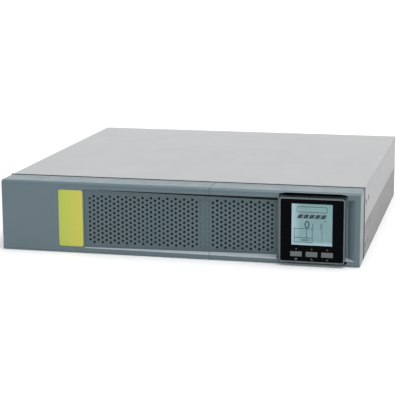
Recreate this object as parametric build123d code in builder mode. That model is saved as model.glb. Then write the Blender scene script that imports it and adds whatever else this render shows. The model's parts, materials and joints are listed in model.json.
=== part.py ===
"""Rack and tower uninterruptible power supply, two rack units high.

X runs to the right of the front panel, Y runs from the front to the back and Z is up.
The origin is the centre of the footprint on the surface that the case lies on.
Every size is in millimetres.
"""
from build123d import *
import os

os.makedirs("parts", exist_ok=True)

# ---------------------------------------------------------------- driving dimensions

# Case of folded steel sheet.
width = 440.0
height = 87.0
chassis_depth = 398.0
sheet = 1.2
sheet_gap = 0.2
bend_radius = 1.0
seam_z = 42.0
seam_gap = 0.4
lip_height = 12.0
foot_width = 12.0
panel_screw_x = 211.0
panel_screw_inset = 9.0
panel_screw_radius = 3.2
panel_screw_head = 1.8
vent_width = 4.5
vent_height = 58.0
vent_pitch = 9.0
vent_count = 20
vent_left = 10.0

# Rack ear holes in each side of the case, a rectangle of four.
ear_setback = 19.0
ear_spacing_y = 27.0
ear_low_z = 14.0
ear_spacing_z = 53.0
ear_hole_radius = 2.0
ear_nut_radius = 4.5
ear_nut_length = 4.0

# Front bezel, two plastic mouldings side by side.
bezel_depth = 38.0
bezel_wall = 2.5
bezel_lift = 0.4
bezel_gap = 0.4
bezel_top_round = 4.5
bezel_edge_round = 1.6
bezel_seam_x = 41.0
bezel_seam_gap = 0.5

# Wedge-shaped recess across the bezel, shallow at the left and deep at the display.
recess_left = -114.0
recess_right = 214.0
recess_low = 7.0
recess_high = 79.0
recess_shallow = 1.0
recess_deep = 7.0
recess_floor_left = 122.0
recess_ramp_run = 9.0
recess_wall_depth = 11.0
ledge_slope = 0.28

# Perforated grilles on the floor of the recess.
grille_thickness = 2.2
grille_gap = 0.15
grille_seam_x = 35.0
grille_hole_radius = 1.5
grille_dimple_depth = 0.6
grille_column_pitch = 5.07
grille_row_pitch = 5.66
grille_rows = 10
grille_mid_z = 42.7
left_grille_columns = 27
left_grille_first_x = -107.0
right_grille_columns = 15
right_grille_first_x = 44.6

# Coloured strip let into the left bezel.
strip_width = 30.5
strip_left = -146.5
strip_low = 8.0
strip_high = 77.5
strip_thickness = 1.2
strip_corner = 2.5
strip_gap = 0.1

# Turning display on a round neck.
display_x = 164.7
display_z = 43.0
display_size = 77.0
display_corner = 3.5
display_thickness = 7.0
display_gap = 0.5
display_wall = 1.2
trim_width = 1.6
trim_depth = 1.6
window_thickness = 2.0
window_gap = 0.1
lcd_width = 47.6
lcd_height = 49.0
lcd_up = 7.0
lcd_sunk = 0.4
lens_radius = 0.8
lens_gap = 0.1
lens_down = 22.2
board_thickness = 1.6
neck_radius = 27.0
neck_wall = 2.5
neck_clearance = 0.08
sleeve_wall = 3.0
sleeve_length = 10.0
retainer_thickness = 2.0
retainer_overhang = 3.5
retainer_gap = 0.3
notch_wide = 80.0
notch_narrow = 65.0
notch_depth = 6.0
notch_shoulder = 1.4
notch_skin = 1.5
cable_hole_radius = 9.0
retainer_fit = 0.05

# Buttons below the screen.
button_count = 3
button_width = 13.7
button_height = 5.9
button_pitch = 18.2
button_down = 28.2
button_proud = 0.8
button_clearance = 0.15
button_rim = 0.9
button_rim_thickness = 0.8
button_rim_gap = 0.05
button_travel = 0.5
button_edge = 0.6
switch_size = 4.5
switch_gap = 0.05

# Battery pack on a tray that slides out through the front wall.
battery_width = 94.0
battery_length = 151.0
battery_height = 65.0
battery_gap = 1.5
battery_edge = 2.0
tray_floor_gap = 0.3
tray_play = 1.0
tray_side_height = 38.0
tray_rear_space = 6.0
bay_left_gap = 9.0
bay_opening_top = 75.5
bay_opening_margin = 1.0
bay_wall_gap = 3.0
flange_thickness = 1.5
flange_gap = 0.3
flange_overlap = 5.0
flange_top_margin = 3.5
flange_screw_drop = 7.8
flange_screw_spread = 150.0
strap_thickness = 0.8
strap_leg = 40.0
strap_gap = 0.1
strap_width = 20.0
tab_inset = 12.0
tab_spread = 60.0
link_thickness = 1.6
tab_width = 6.3
tab_height = 6.0
tab_thickness = 0.8
handle_width = 90.0
handle_setback = 16.2
handle_bar = 7.0
handle_z = 40.0
thumb_radius = 4.5
thumb_reach = 8.0
screw_radius = 2.0
screw_length = 8.0
screw_clearance = 0.4
plug_width = 36.0
plug_height = 16.0
plug_length = 14.0
plug_gap = 0.5
plug_z = 32.0
plug_pin_radius = 3.0
plug_pin_length = 9.0
plug_pin_spacing = 18.0
plug_pin_clearance = 0.4

# Snap posts that hold the left bezel on the tray, and screw posts on the right one.
post_block = 9.0
post_height = 10.0
post_setback = 13.0
post_radius = 2.5
post_clearance = 0.4
post_outer_inset = 9.6
post_inner_inset = 10.9
boss_x = 210.0
boss_radius = 4.0
boss_inner_x = 62.0
bezel_screw_radius = 1.5
bezel_screw_length = 10.0
bezel_screw_clearance = 0.1
bezel_screw_head = 2.0

# Power board and what stands on it.
pcb_thickness = 1.6
pcb_lift = 6.8
pcb_side_gap = 0.1
pcb_right = 210.0
pcb_front_setback = 22.0
pcb_rear_setback = 42.0
standoff_radius = 3.0
standoff_inset = 6.0
row_gap_parts = (8.5, 4.5, 8.0, 34.0)
sink_length = 120.0
sink_width = 42.0
sink_height = 52.0
sink_base = 5.0
sink_fin = 1.6
sink_fin_count = 7
sink_setback = 140.0
transistor_width = 16.0
transistor_height = 21.0
transistor_thickness = 5.0
transistor_lift = 6.0
transistor_legs = 2.0
transistor_pitch = 36.0
capacitor_radius = 15.0
capacitor_height = 45.0
capacitor_edge = 1.0
capacitor_pitch = 33.0
capacitor_setback = 200.0
core_length = 78.0
core_stack = 40.0
core_height = 60.0
core_leg = 22.0
core_window = 14.0
core_window_height = 38.0
core_inset = 50.0
core_setback = 62.0
coil_gap = 0.3
coil_build = 13.0
choke_radius = 22.0
choke_bore = 10.0
choke_height = 20.0
choke_inset = 40.0
choke_setback = 118.0
relay_length = 28.0
relay_width = 12.0
relay_height = 24.0
relay_count = 3
relay_pitch = 30.0
relay_place = 0.49
relay_setback = 110.0
card_inset = 14.0
card_length = 90.0
card_height = 50.0
card_setback = 13.0

# Rear panel fittings.
fan_size = 80.0
fan_depth = 25.0
fan_bore = 38.0
fan_hole_spacing = 71.5
fan_hole_radius = 2.2
fan_x = 165.0
fan_hub_radius = 17.0
fan_blade_count = 7
fan_blade_pitch = 35.0
fan_blade_chord = 18.0
fan_blade_thickness = 1.6
fan_tip_clearance = 2.5
fan_shaft_radius = 2.0
fan_shaft_clearance = 0.08
fan_side_gap = 2.0
guard_wire = 1.0
guard_ring_pitch = 9.5
guard_rings = 4
guard_eye = 2.0
fan_strut = 3.0
fan_screw_radius = 1.9
fan_screw_head_radius = 3.6
fan_screw_head = 2.0
fan_screw_bite = 8.0
inlet_x = 92.0
inlet_z = 25.0
socket_width = 24.6
socket_height = 16.6
socket_depth = 15.0
socket_chamfer = 4.5
pin_width = 2.0
pin_height = 4.0
pin_length = 11.0
pin_spacing = 14.0
pin_drop = 1.5
slot_clearance = 0.2
outlet_count = 4
outlet_pitch = 31.0
outlet_groove = 2.6
outlet_core_width = 20.5
outlet_core_height = 12.5
outlet_depth = 15.0
outlet_x = 8.0
outlet_low_z = 25.0
outlet_high_z = 62.0
fitting_flange = 2.0
fitting_rim = 3.0
fitting_back = 20.0
breaker_z = 62.0
breaker_width = 15.0
breaker_button_radius = 5.0
breaker_button_proud = 4.0
breaker_button_edge = 1.0
breaker_button_clearance = 0.3
breaker_bore_depth = 12.0
slot_x = -150.0
slot_z = 60.0
slot_width = 96.0
slot_height = 38.0
slot_margin = 8.0
slot_overlap = 3.0
port_base_z = 12.0
port_depth = 16.0
port_proud = 1.0
port_rim = 1.0
port_board_depth = 44.0
port_board_margin = 8.0
usb_x = -195.0
usb_width = 12.0
usb_height = 11.0
serial_x = -150.0
serial_width = 31.0
serial_height = 12.5
terminal_x = -100.0
terminal_width = 22.0
terminal_height = 8.0
ground_x = -76.0
ground_z = 62.0
ground_head_radius = 4.0
ground_head = 3.0

# ---------------------------------------------------------------- places worked out from them

front_standout = display_gap + display_thickness + button_proud
overall_depth = front_standout + bezel_depth + chassis_depth + thumb_reach
front_y = front_standout - overall_depth / 2
wall_y = front_y + bezel_depth
rear_y = wall_y + chassis_depth
inside_x = width / 2 - sheet
panel_x = inside_x - sheet - sheet_gap
ceiling_z = height - sheet
mid_z = height / 2
bezel_back_y = wall_y - bezel_gap

bay_left = -width / 2 + bay_left_gap
tray_width = 2 * battery_width + battery_gap + 2 * (sheet + tray_play)
tray_right = bay_left + tray_width
tray_mid_x = (bay_left + tray_right) / 2
tray_floor_z = sheet + tray_floor_gap
tray_length = 2 * battery_length + battery_gap + 2 * tray_play + tray_rear_space + sheet
tray_front_y = wall_y - flange_gap
tray_back_y = tray_front_y + tray_length
battery_base_z = tray_floor_z + sheet
battery_top_z = battery_base_z + battery_height
first_column = bay_left + sheet + tray_play + battery_width / 2
first_row = tray_front_y + tray_play + battery_length / 2
battery_columns = [first_column + n * (battery_width + battery_gap) for n in range(2)]
battery_rows = [first_row + n * (battery_length + battery_gap) for n in range(2)]
bay_wall_x = tray_right + bay_wall_gap
bay_back_y = tray_back_y + 2 * plug_length + plug_gap
flange_left = bay_left - bay_opening_margin - flange_overlap + screw_clearance
flange_right = tray_right + bay_opening_margin + flange_overlap
flange_y = tray_front_y - flange_thickness
flange_top_z = height - flange_top_margin
flange_screw_z = height - flange_screw_drop
flange_screws = [(tray_mid_x + side * flange_screw_spread / 2, flange_screw_z) for side in (-1, 1)]
handle_front_y = front_y + handle_setback

display_back_y = front_y - display_gap
display_front_y = display_back_y - display_thickness
window_back_y = display_front_y + window_thickness
board_back_y = display_back_y - display_wall
board_front_y = board_back_y - board_thickness
display_floor_y = front_y + recess_deep + bezel_wall
sleeve_end_y = display_floor_y + sleeve_length
neck_end_y = sleeve_end_y + retainer_gap + retainer_thickness
button_places = [display_x + (n - (button_count - 1) / 2) * button_pitch for n in range(button_count)]
button_z = display_z - button_down

post_ends = (bezel_lift + bezel_wall + post_height / 2, height - bezel_wall - post_height / 2)
post_outer_x = flange_left + post_outer_inset
post_inner_x = flange_right - post_inner_inset
left_bezel_posts = [(x, z) for x in (post_outer_x, post_inner_x) for z in post_ends]
right_bezel_blocks = [(boss_inner_x, z) for z in post_ends]
right_bezel_bosses = [(boss_x, mid_z - ear_spacing_z / 2), (boss_x, mid_z + ear_spacing_z / 2)]
right_bezel_fixings = right_bezel_blocks + right_bezel_bosses

pcb_base_z = sheet + pcb_lift
pcb_top_z = pcb_base_z + pcb_thickness
pcb_front_y = wall_y + sheet + pcb_front_setback
pcb_back_y = rear_y - sheet - pcb_rear_setback
pcb_left = bay_wall_x + foot_width + pcb_side_gap

capacitor_span = capacitor_pitch + 2 * capacitor_radius
sink_span = sink_width + transistor_thickness
spare_width = pcb_right - pcb_left - capacitor_span - 2 * sink_span
row_gaps = [spare_width * part / sum(row_gap_parts) for part in row_gap_parts]
capacitor_x = pcb_left + row_gaps[0] + capacitor_span / 2
first_sink_x = capacitor_x + capacitor_span / 2 + row_gaps[1] + sink_width / 2
sink_places = (first_sink_x, first_sink_x + sink_span + row_gaps[2])
core_x = pcb_right - core_inset
choke_x = pcb_left + choke_inset
relay_room = core_x - core_length / 2 - choke_x - choke_radius - relay_width
relay_x = choke_x + choke_radius + relay_place * relay_room + relay_width / 2
card_left = pcb_left + card_inset
card_right = card_left + card_length

outlet_bank_width = (outlet_count - 1) * outlet_pitch + outlet_core_width + 2 * outlet_groove
outlet_bank_height = outlet_core_height + 2 * outlet_groove
outlet_places = [outlet_x + (n - (outlet_count - 1) / 2) * outlet_pitch for n in range(outlet_count)]
pin_pattern = [(-pin_spacing / 2, -pin_drop), (pin_spacing / 2, -pin_drop), (0, pin_drop)]
slot_screws = [(slot_x + side * (slot_width + slot_margin) / 2, slot_z) for side in (-1, 1)]
fan_front_y = rear_y - sheet - fan_depth
fan_hole_reach = fan_hole_spacing / 2
fan_holes = [(fan_x + i * fan_hole_reach, mid_z + k * fan_hole_reach) for i in (-1, 1) for k in (-1, 1)]
ports = {
    "usb": (usb_x, usb_width, usb_height),
    "serial": (serial_x, serial_width, serial_height),
    "terminal": (terminal_x, terminal_width, terminal_height),
}


# ---------------------------------------------------------------- helpers

def block(x, y, z, mode=Mode.ADD):
    """Add or cut a box that spans the pairs x, y and z."""
    centre = ((x[0] + x[1]) / 2, (y[0] + y[1]) / 2, (z[0] + z[1]) / 2)
    with Locations(centre):
        Box(x[1] - x[0], y[1] - y[0], z[1] - z[0], mode=mode)


def rod_y(x, z, radius, y, mode=Mode.ADD):
    """Add or cut a round rod along Y that spans the pair y."""
    with BuildSketch(Plane.XZ.offset(-y[0])) as face:
        with Locations((x, z)):
            Circle(radius)
    extrude(face.sketch, amount=-(y[1] - y[0]), mode=mode)


def post_z(x, y, radius, z, mode=Mode.ADD):
    """Add or cut an upright round post that spans the pair z."""
    with BuildSketch(Plane.XY.offset(z[0])) as face:
        with Locations((x, y)):
            Circle(radius)
    extrude(face.sketch, amount=z[1] - z[0], mode=mode)


def rounded_plate_y(x, z, size_x, size_z, corner, y, mode=Mode.ADD):
    """Add or cut a round-cornered plate that stands across Y and spans the pair y."""
    with BuildSketch(Plane.XZ.offset(-y[0])) as face:
        with Locations((x, z)):
            RectangleRounded(size_x, size_z, corner)
    extrude(face.sketch, amount=-(y[1] - y[0]), mode=mode)


def save(builder, name):
    """Label a finished piece and write it as its own STEP file."""
    builder.part.label = name
    export_step(builder.part, f"parts/{name}.step")


def panel_cut(opening):
    """Size of the panel's cut-out for a fitting whose opening has this size."""
    return opening + 2 * fitting_rim + 2 * sheet_gap


def ledge_z(depth):
    """Height of the recess's lower ledge at a depth behind the bezel's face."""
    return recess_low + ledge_slope * depth


def grille_depth(x):
    """Depth of the slanting grille behind the bezel's face at x."""
    share = (x - recess_left) / (recess_floor_left - recess_left)
    return recess_shallow + share * (recess_deep - recess_shallow)


# ---------------------------------------------------------------- case

ear_places = [
    (wall_y + ear_setback + row * ear_spacing_y, ear_low_z + level * ear_spacing_z)
    for row in range(2)
    for level in range(2)
]


def ear_holes(radius, mode=Mode.SUBTRACT):
    """Cut the rack ear holes through both sides of the case."""
    with BuildSketch(Plane.YZ.offset(-width / 2 - sheet)) as face:
        with Locations(*ear_places):
            Circle(radius)
    extrude(face.sketch, amount=width + 2 * sheet, mode=mode)


with BuildPart() as chassis_tray:
    block((-width / 2, width / 2), (wall_y, rear_y), (0, seam_z - seam_gap))
    block((-inside_x, inside_x), (wall_y - 1, rear_y + 1), (sheet, seam_z), Mode.SUBTRACT)
    long_edges = chassis_tray.edges().filter_by(Axis.Y).group_by(Axis.Z)[0]
    fillet(long_edges, bend_radius)
    for side in (-1, 1):
        lip = sorted((side * inside_x, side * (inside_x - sheet)))
        block(lip, (wall_y + 50, rear_y - 10), (seam_z - lip_height, seam_z + lip_height))
    ear_holes(ear_nut_radius)
save(chassis_tray, "chassis_tray")

with BuildPart() as top_cover:
    block((-width / 2, width / 2), (wall_y, rear_y), (seam_z, height))
    block((-inside_x, inside_x), (wall_y - 1, rear_y + 1), (seam_z - 1, ceiling_z), Mode.SUBTRACT)
    long_edges = top_cover.edges().filter_by(Axis.Y).group_by(Axis.Z)[-1]
    fillet(long_edges, bend_radius)
    ear_holes(ear_nut_radius)
save(top_cover, "top_cover")

with BuildPart() as ear_nuts:
    for side in (-1, 1):
        with BuildSketch(Plane.YZ.offset(side * width / 2)) as face:
            with Locations(*ear_places):
                Circle(ear_nut_radius)
                Circle(ear_hole_radius, mode=Mode.SUBTRACT)
        extrude(face.sketch, amount=-side * ear_nut_length)
save(ear_nuts, "ear_nuts")

with BuildPart() as front_wall:
    block((-panel_x, panel_x), (wall_y, wall_y + sheet), (sheet, ceiling_z))
    opening = (bay_left - bay_opening_margin, tray_right + bay_opening_margin)
    through = (wall_y - 1, wall_y + sheet + 1)
    block(opening, through, (0, bay_opening_top), Mode.SUBTRACT)
    vent_middle = vent_left + (vent_count - 1) * vent_pitch / 2
    with BuildSketch(Plane.XZ.offset(-through[0])) as vents:
        with Locations((vent_middle, mid_z)):
            with GridLocations(vent_pitch, 1, vent_count, 1):
                SlotOverall(vent_height, vent_width, rotation=90)
    extrude(vents.sketch, amount=through[0] - through[1], mode=Mode.SUBTRACT)
    for x, z in flange_screws:
        rod_y(x, z, screw_radius + screw_clearance, through, Mode.SUBTRACT)
    for x, z in right_bezel_fixings:
        rod_y(x, z, bezel_screw_radius + bezel_screw_clearance, through, Mode.SUBTRACT)
save(front_wall, "front_wall")

with BuildPart() as bay_wall:
    block((bay_wall_x, bay_wall_x + sheet), (wall_y + sheet, bay_back_y + sheet), (sheet, ceiling_z))
    block((-panel_x, bay_wall_x + sheet), (bay_back_y, bay_back_y + sheet), (sheet, ceiling_z))
    block((bay_wall_x, bay_wall_x + foot_width), (wall_y + sheet, bay_back_y), (sheet, 2 * sheet))
save(bay_wall, "bay_wall")

with BuildPart() as rear_panel:
    block((-panel_x, panel_x), (rear_y - sheet, rear_y), (sheet, ceiling_z))
    block((-panel_x, panel_x), (rear_y - foot_width, rear_y), (sheet, 2 * sheet))
    through = (rear_y - sheet - 1, rear_y + 1)
    rod_y(fan_x, mid_z, fan_bore, through, Mode.SUBTRACT)
    with BuildSketch(Plane.XZ.offset(-through[0])) as cuts:
        with Locations(*fan_holes):
            Circle(fan_hole_radius)
        with Locations((inlet_x, inlet_z)):
            Rectangle(panel_cut(socket_width), panel_cut(socket_height))
        with Locations((inlet_x, breaker_z)):
            Rectangle(panel_cut(breaker_width), panel_cut(breaker_width))
        with Locations((outlet_x, outlet_low_z), (outlet_x, outlet_high_z)):
            Rectangle(panel_cut(outlet_bank_width), panel_cut(outlet_bank_height))
        with Locations((slot_x, slot_z)):
            Rectangle(slot_width, slot_height)
        for x, port_width, port_height in ports.values():
            with Locations((x, port_base_z + port_height / 2)):
                Rectangle(port_width + 2 * sheet_gap, port_height + 2 * sheet_gap)
        with Locations((ground_x, ground_z), *slot_screws):
            Circle(screw_radius + sheet_gap)
    extrude(cuts.sketch, amount=through[0] - through[1], mode=Mode.SUBTRACT)
save(rear_panel, "rear_panel")

with BuildPart() as panel_screws:
    for x in (-panel_screw_x, panel_screw_x):
        for z in (panel_screw_inset, height - panel_screw_inset):
            rod_y(x, z, panel_screw_radius, (rear_y, rear_y + panel_screw_head))
    rod_y(ground_x, ground_z, screw_radius, (rear_y - screw_length, rear_y))
    rod_y(ground_x, ground_z, ground_head_radius, (rear_y, rear_y + ground_head))
save(panel_screws, "panel_screws")

# ---------------------------------------------------------------- bezel


def add_bezel_shell(bezel):
    """Add the hollow outer body of the whole bezel and the walls of its recess."""
    block((-width / 2, width / 2), (front_y, bezel_back_y), (bezel_lift, height))
    front_edges = bezel.edges().filter_by(Axis.X).group_by(Axis.Y)[0].sort_by(Axis.Z)
    fillet(front_edges[-1], bezel_top_round)
    rounded = [bezel.edges().filter_by(Axis.X).group_by(Axis.Y)[0].sort_by(Axis.Z)[0]]
    for side_face in (bezel.faces().sort_by(Axis.X)[0], bezel.faces().sort_by(Axis.X)[-1]):
        for edge in side_face.edges():
            at_back = edge.center().Y > bezel_back_y - bezel_gap
            at_base = edge.center().Z < bezel_lift + bezel_gap
            if not at_back and not at_base:
                rounded.append(edge)
    fillet(rounded, bezel_edge_round)
    block(
        (-width / 2 + bezel_wall, width / 2 - bezel_wall),
        (front_y + bezel_wall, bezel_back_y + 1),
        (bezel_lift + bezel_wall, height - bezel_wall),
        Mode.SUBTRACT,
    )
    add_recess_prism(recess_left - bezel_wall, recess_right + bezel_wall, front_y, bezel_wall, Mode.ADD)
    add_recess_prism(recess_left, recess_right, front_y - 1, 0, Mode.SUBTRACT)


def add_recess_prism(left, right, start_y, grow, mode):
    """Add or cut the outline of the recess, whose lower ledge climbs towards the back."""
    end_y = front_y + recess_wall_depth + (1 if mode == Mode.SUBTRACT else 0)
    with BuildSketch(Plane.YZ.offset(left)) as face:
        with BuildLine():
            Polyline(
                (start_y, ledge_z(start_y - front_y) - grow),
                (end_y, ledge_z(end_y - front_y) - grow),
                (end_y, recess_high + grow),
                (start_y, recess_high + grow),
                close=True,
            )
        make_face()
    extrude(face.sketch, amount=right - left, mode=mode)


def add_posts(places, end_y):
    """Add the square posts inside the bezel that reach back to what holds it."""
    for x, z in places:
        block(
            (x - post_block / 2, x + post_block / 2),
            (front_y + post_setback, end_y),
            (z - post_height / 2, z + post_height / 2),
        )


with BuildPart() as left_bezel:
    add_bezel_shell(left_bezel)
    block(
        (bezel_seam_x - bezel_seam_gap / 2, width),
        (front_y - 1, wall_y),
        (0, height + 1),
        Mode.SUBTRACT,
    )
    block(
        (flange_left - flange_gap, flange_right + flange_gap),
        (flange_y - flange_gap, wall_y),
        (0, bezel_lift + bezel_wall + 1),
        Mode.SUBTRACT,
    )
    add_posts(left_bezel_posts, flange_y - flange_gap)
    for x, z in left_bezel_posts:
        rod_y(x, z, post_radius, (flange_y - flange_gap - 1, tray_front_y))
    strip_middle = (strip_left + strip_width / 2, (strip_low + strip_high) / 2)
    rounded_plate_y(
        *strip_middle,
        strip_width + 2 * strip_gap,
        strip_high - strip_low + 2 * strip_gap,
        strip_corner + strip_gap,
        (front_y - 1, front_y + strip_thickness + strip_gap),
        Mode.SUBTRACT,
    )
save(left_bezel, "left_bezel")

with BuildPart() as accent_strip:
    rounded_plate_y(
        *strip_middle,
        strip_width,
        strip_high - strip_low,
        strip_corner,
        (front_y, front_y + strip_thickness),
    )
save(accent_strip, "accent_strip")


def cut_finger_notch(edge_z, outer_z):
    """Cut the tapered notch in a rail, from the recess's edge to its shallow outer side."""
    shoulder_z = outer_z + (notch_shoulder if edge_z > outer_z else -notch_shoulder)
    with BuildSketch(Plane.XZ.offset(-front_y + 1)) as face:
        with BuildLine():
            Polyline(
                (display_x - notch_wide / 2, edge_z),
                (display_x - notch_wide / 2, shoulder_z),
                (display_x - notch_narrow / 2, outer_z),
                (display_x + notch_narrow / 2, outer_z),
                (display_x + notch_wide / 2, shoulder_z),
                (display_x + notch_wide / 2, edge_z),
                close=True,
            )
        make_face()
    extrude(face.sketch, amount=-notch_depth - 1, mode=Mode.SUBTRACT)


with BuildPart() as right_bezel:
    add_bezel_shell(right_bezel)
    block(
        (-width, bezel_seam_x + bezel_seam_gap / 2),
        (front_y - 1, wall_y),
        (0, height + 1),
        Mode.SUBTRACT,
    )
    with BuildSketch(Plane.XY.offset(recess_low - bezel_wall)) as floor:
        with BuildLine():
            Polyline(
                (recess_floor_left, display_floor_y - bezel_wall),
                (recess_right - recess_ramp_run, display_floor_y - bezel_wall),
                (recess_right, front_y),
                (recess_right + bezel_wall, front_y),
                (recess_right + bezel_wall, front_y + bezel_wall),
                (recess_right + bezel_wall - recess_ramp_run, display_floor_y),
                (recess_floor_left, display_floor_y),
                close=True,
            )
        make_face()
    extrude(floor.sketch, amount=recess_high - recess_low + 2 * bezel_wall)
    cut_finger_notch(recess_low + bezel_wall, bezel_lift + notch_skin)
    cut_finger_notch(recess_high - bezel_wall, height - notch_skin)
    rod_y(display_x, display_z, neck_radius + neck_clearance + sleeve_wall, (display_floor_y, sleeve_end_y))
    add_posts(right_bezel_blocks, wall_y)
    for x, z in right_bezel_bosses:
        rod_y(x, z, boss_radius, (display_floor_y - bezel_wall, wall_y))
    rod_y(display_x, display_z, neck_radius + neck_clearance, (front_y, sleeve_end_y + 1), Mode.SUBTRACT)
    for x, z in right_bezel_fixings:
        rod_y(
            x,
            z,
            bezel_screw_radius + bezel_screw_clearance,
            (wall_y - bezel_screw_length, wall_y + 1),
            Mode.SUBTRACT,
        )
save(right_bezel, "right_bezel")

with BuildPart() as bezel_screws:
    for x, z in right_bezel_fixings:
        rod_y(x, z, bezel_screw_radius, (wall_y - bezel_screw_length + 1, wall_y + sheet))
        rod_y(x, z, 2 * bezel_screw_radius, (wall_y + sheet, wall_y + sheet + bezel_screw_head))
save(bezel_screws, "bezel_screws")


def grille_plate(left, right):
    """Add the slanting plate of a grille, its lower edge cut to the climbing ledge."""
    with BuildSketch(Plane.XY.offset(recess_low - bezel_wall)) as outline:
        with BuildLine():
            Polyline(
                (left, front_y + grille_depth(left)),
                (right, front_y + grille_depth(right)),
                (right, front_y + grille_depth(right) + grille_thickness),
                (left, front_y + grille_depth(left) + grille_thickness),
                close=True,
            )
        make_face()
    extrude(outline.sketch, amount=recess_high - grille_gap - recess_low + bezel_wall)
    with BuildSketch(Plane.YZ.offset(left - 1)) as below:
        with BuildLine():
            Polyline(
                (front_y, ledge_z(0) + grille_gap),
                (front_y + recess_wall_depth, ledge_z(recess_wall_depth) + grille_gap),
                (front_y + recess_wall_depth, 0),
                (front_y, 0),
                close=True,
            )
        make_face()
    extrude(below.sketch, amount=right - left + 2, mode=Mode.SUBTRACT)


def hole_columns(first_x, count, rows, y):
    """Cut every second column of a staggered field of round holes."""
    middle_x = first_x + (count - 1) * grille_column_pitch
    with BuildSketch(Plane.XZ.offset(-y[0])) as field:
        with Locations((middle_x, grille_mid_z)):
            with GridLocations(2 * grille_column_pitch, grille_row_pitch, count, rows):
                Circle(grille_hole_radius)
    extrude(field.sketch, amount=y[0] - y[1], mode=Mode.SUBTRACT)


def grille_holes(first_x, columns):
    """Cut a field of holes whose columns are short and tall in turn, starting short."""
    hole_columns(first_x, (columns + 1) // 2, grille_rows, grille_through)
    hole_columns(first_x + grille_column_pitch, columns // 2, grille_rows + 1, grille_through)


def grille_dimples(x):
    """Cut one column of shallow blind dimples beside a field of holes."""
    hole_columns(x, 1, grille_rows + 1, (front_y, front_y + grille_depth(x) + grille_dimple_depth))


grille_through = (front_y, front_y + recess_wall_depth)

with BuildPart() as left_grille:
    grille_plate(recess_left + grille_gap, grille_seam_x - grille_gap)
    grille_holes(left_grille_first_x, left_grille_columns)
    grille_dimples(left_grille_first_x + left_grille_columns * grille_column_pitch)
save(left_grille, "left_grille")

with BuildPart() as right_grille:
    grille_plate(grille_seam_x + grille_gap, recess_floor_left - grille_gap)
    grille_holes(right_grille_first_x, right_grille_columns)
    grille_dimples(right_grille_first_x - grille_column_pitch)
    grille_dimples(right_grille_first_x + right_grille_columns * grille_column_pitch)
    block(
        (grille_seam_x, bezel_seam_x + bezel_seam_gap),
        grille_through,
        (0, ledge_z(recess_wall_depth) + grille_gap),
        Mode.SUBTRACT,
    )
save(right_grille, "right_grille")

# ---------------------------------------------------------------- turning display

with BuildPart() as display_housing:
    plate_y = (display_front_y, display_back_y)
    rounded_plate_y(display_x, display_z, display_size, display_size, display_corner, plate_y)
    rod_y(display_x, display_z, neck_radius, (display_back_y, neck_end_y))
    inner_size = display_size - 2 * trim_width
    rounded_plate_y(
        display_x,
        display_z,
        display_size + 1,
        display_size + 1,
        display_corner,
        (display_front_y - 1, display_front_y + trim_depth),
        Mode.SUBTRACT,
    )
    rounded_plate_y(
        display_x,
        display_z,
        inner_size,
        inner_size,
        display_corner - trim_width,
        (display_front_y, window_back_y),
        Mode.SUBTRACT,
    )
    rounded_plate_y(
        display_x,
        display_z,
        inner_size - 2 * display_wall,
        inner_size - 2 * display_wall,
        display_corner - trim_width,
        (display_front_y, board_back_y),
        Mode.SUBTRACT,
    )
    rod_y(display_x, display_z, neck_radius - neck_wall, (display_back_y, neck_end_y + 1), Mode.SUBTRACT)
    rod_y(display_x, display_z, cable_hole_radius, (board_back_y, display_back_y + 1), Mode.SUBTRACT)
save(display_housing, "display_housing")

with BuildPart() as display_trim:
    rounded_plate_y(
        display_x,
        display_z,
        display_size,
        display_size,
        display_corner,
        (display_front_y, display_front_y + trim_depth),
    )
    rounded_plate_y(
        display_x,
        display_z,
        inner_size,
        inner_size,
        display_corner - trim_width,
        (display_front_y - 1, display_front_y + trim_depth + 1),
        Mode.SUBTRACT,
    )
save(display_trim, "display_trim")

with BuildPart() as display_window:
    window_size = inner_size - 2 * window_gap
    rounded_plate_y(
        display_x,
        display_z,
        window_size,
        window_size,
        display_corner - trim_width - window_gap,
        (display_front_y, window_back_y),
    )
    window_through = (display_front_y - 1, window_back_y + 1)
    block(
        (display_x - lcd_width / 2 - window_gap, display_x + lcd_width / 2 + window_gap),
        window_through,
        (display_z + lcd_up - lcd_height / 2 - window_gap, display_z + lcd_up + lcd_height / 2 + window_gap),
        Mode.SUBTRACT,
    )
    key_reach = button_height / 2 + button_clearance
    for x in button_places:
        block(
            (x - button_width / 2 - button_clearance, x + button_width / 2 + button_clearance),
            window_through,
            (button_z - key_reach, button_z + key_reach),
            Mode.SUBTRACT,
        )
        rod_y(x, display_z - lens_down, lens_radius + lens_gap, window_through, Mode.SUBTRACT)
save(display_window, "display_window")

with BuildPart() as lcd_panel:
    block(
        (display_x - lcd_width / 2, display_x + lcd_width / 2),
        (display_front_y + lcd_sunk, board_front_y),
        (display_z + lcd_up - lcd_height / 2, display_z + lcd_up + lcd_height / 2),
    )
save(lcd_panel, "lcd_panel")

with BuildPart() as display_board:
    board_size = inner_size - 2 * display_wall - 2 * sheet_gap
    rounded_plate_y(
        display_x,
        display_z,
        board_size,
        board_size,
        display_corner - trim_width - sheet_gap,
        (board_front_y, board_back_y),
    )
save(display_board, "display_board")

with BuildPart() as indicator_lenses:
    for x in button_places:
        rod_y(x, display_z - lens_down, lens_radius, (display_front_y, board_front_y))
save(indicator_lenses, "indicator_lenses")

button_rim_y = window_back_y + button_rim_gap
button_back_y = button_rim_y + button_rim_thickness

with BuildPart() as button_switches:
    switch_front_y = button_back_y + button_travel + switch_gap
    for x in button_places:
        block(
            (x - switch_size / 2, x + switch_size / 2),
            (switch_front_y, board_front_y),
            (button_z - switch_size / 2, button_z + switch_size / 2),
        )
save(button_switches, "button_switches")

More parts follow.
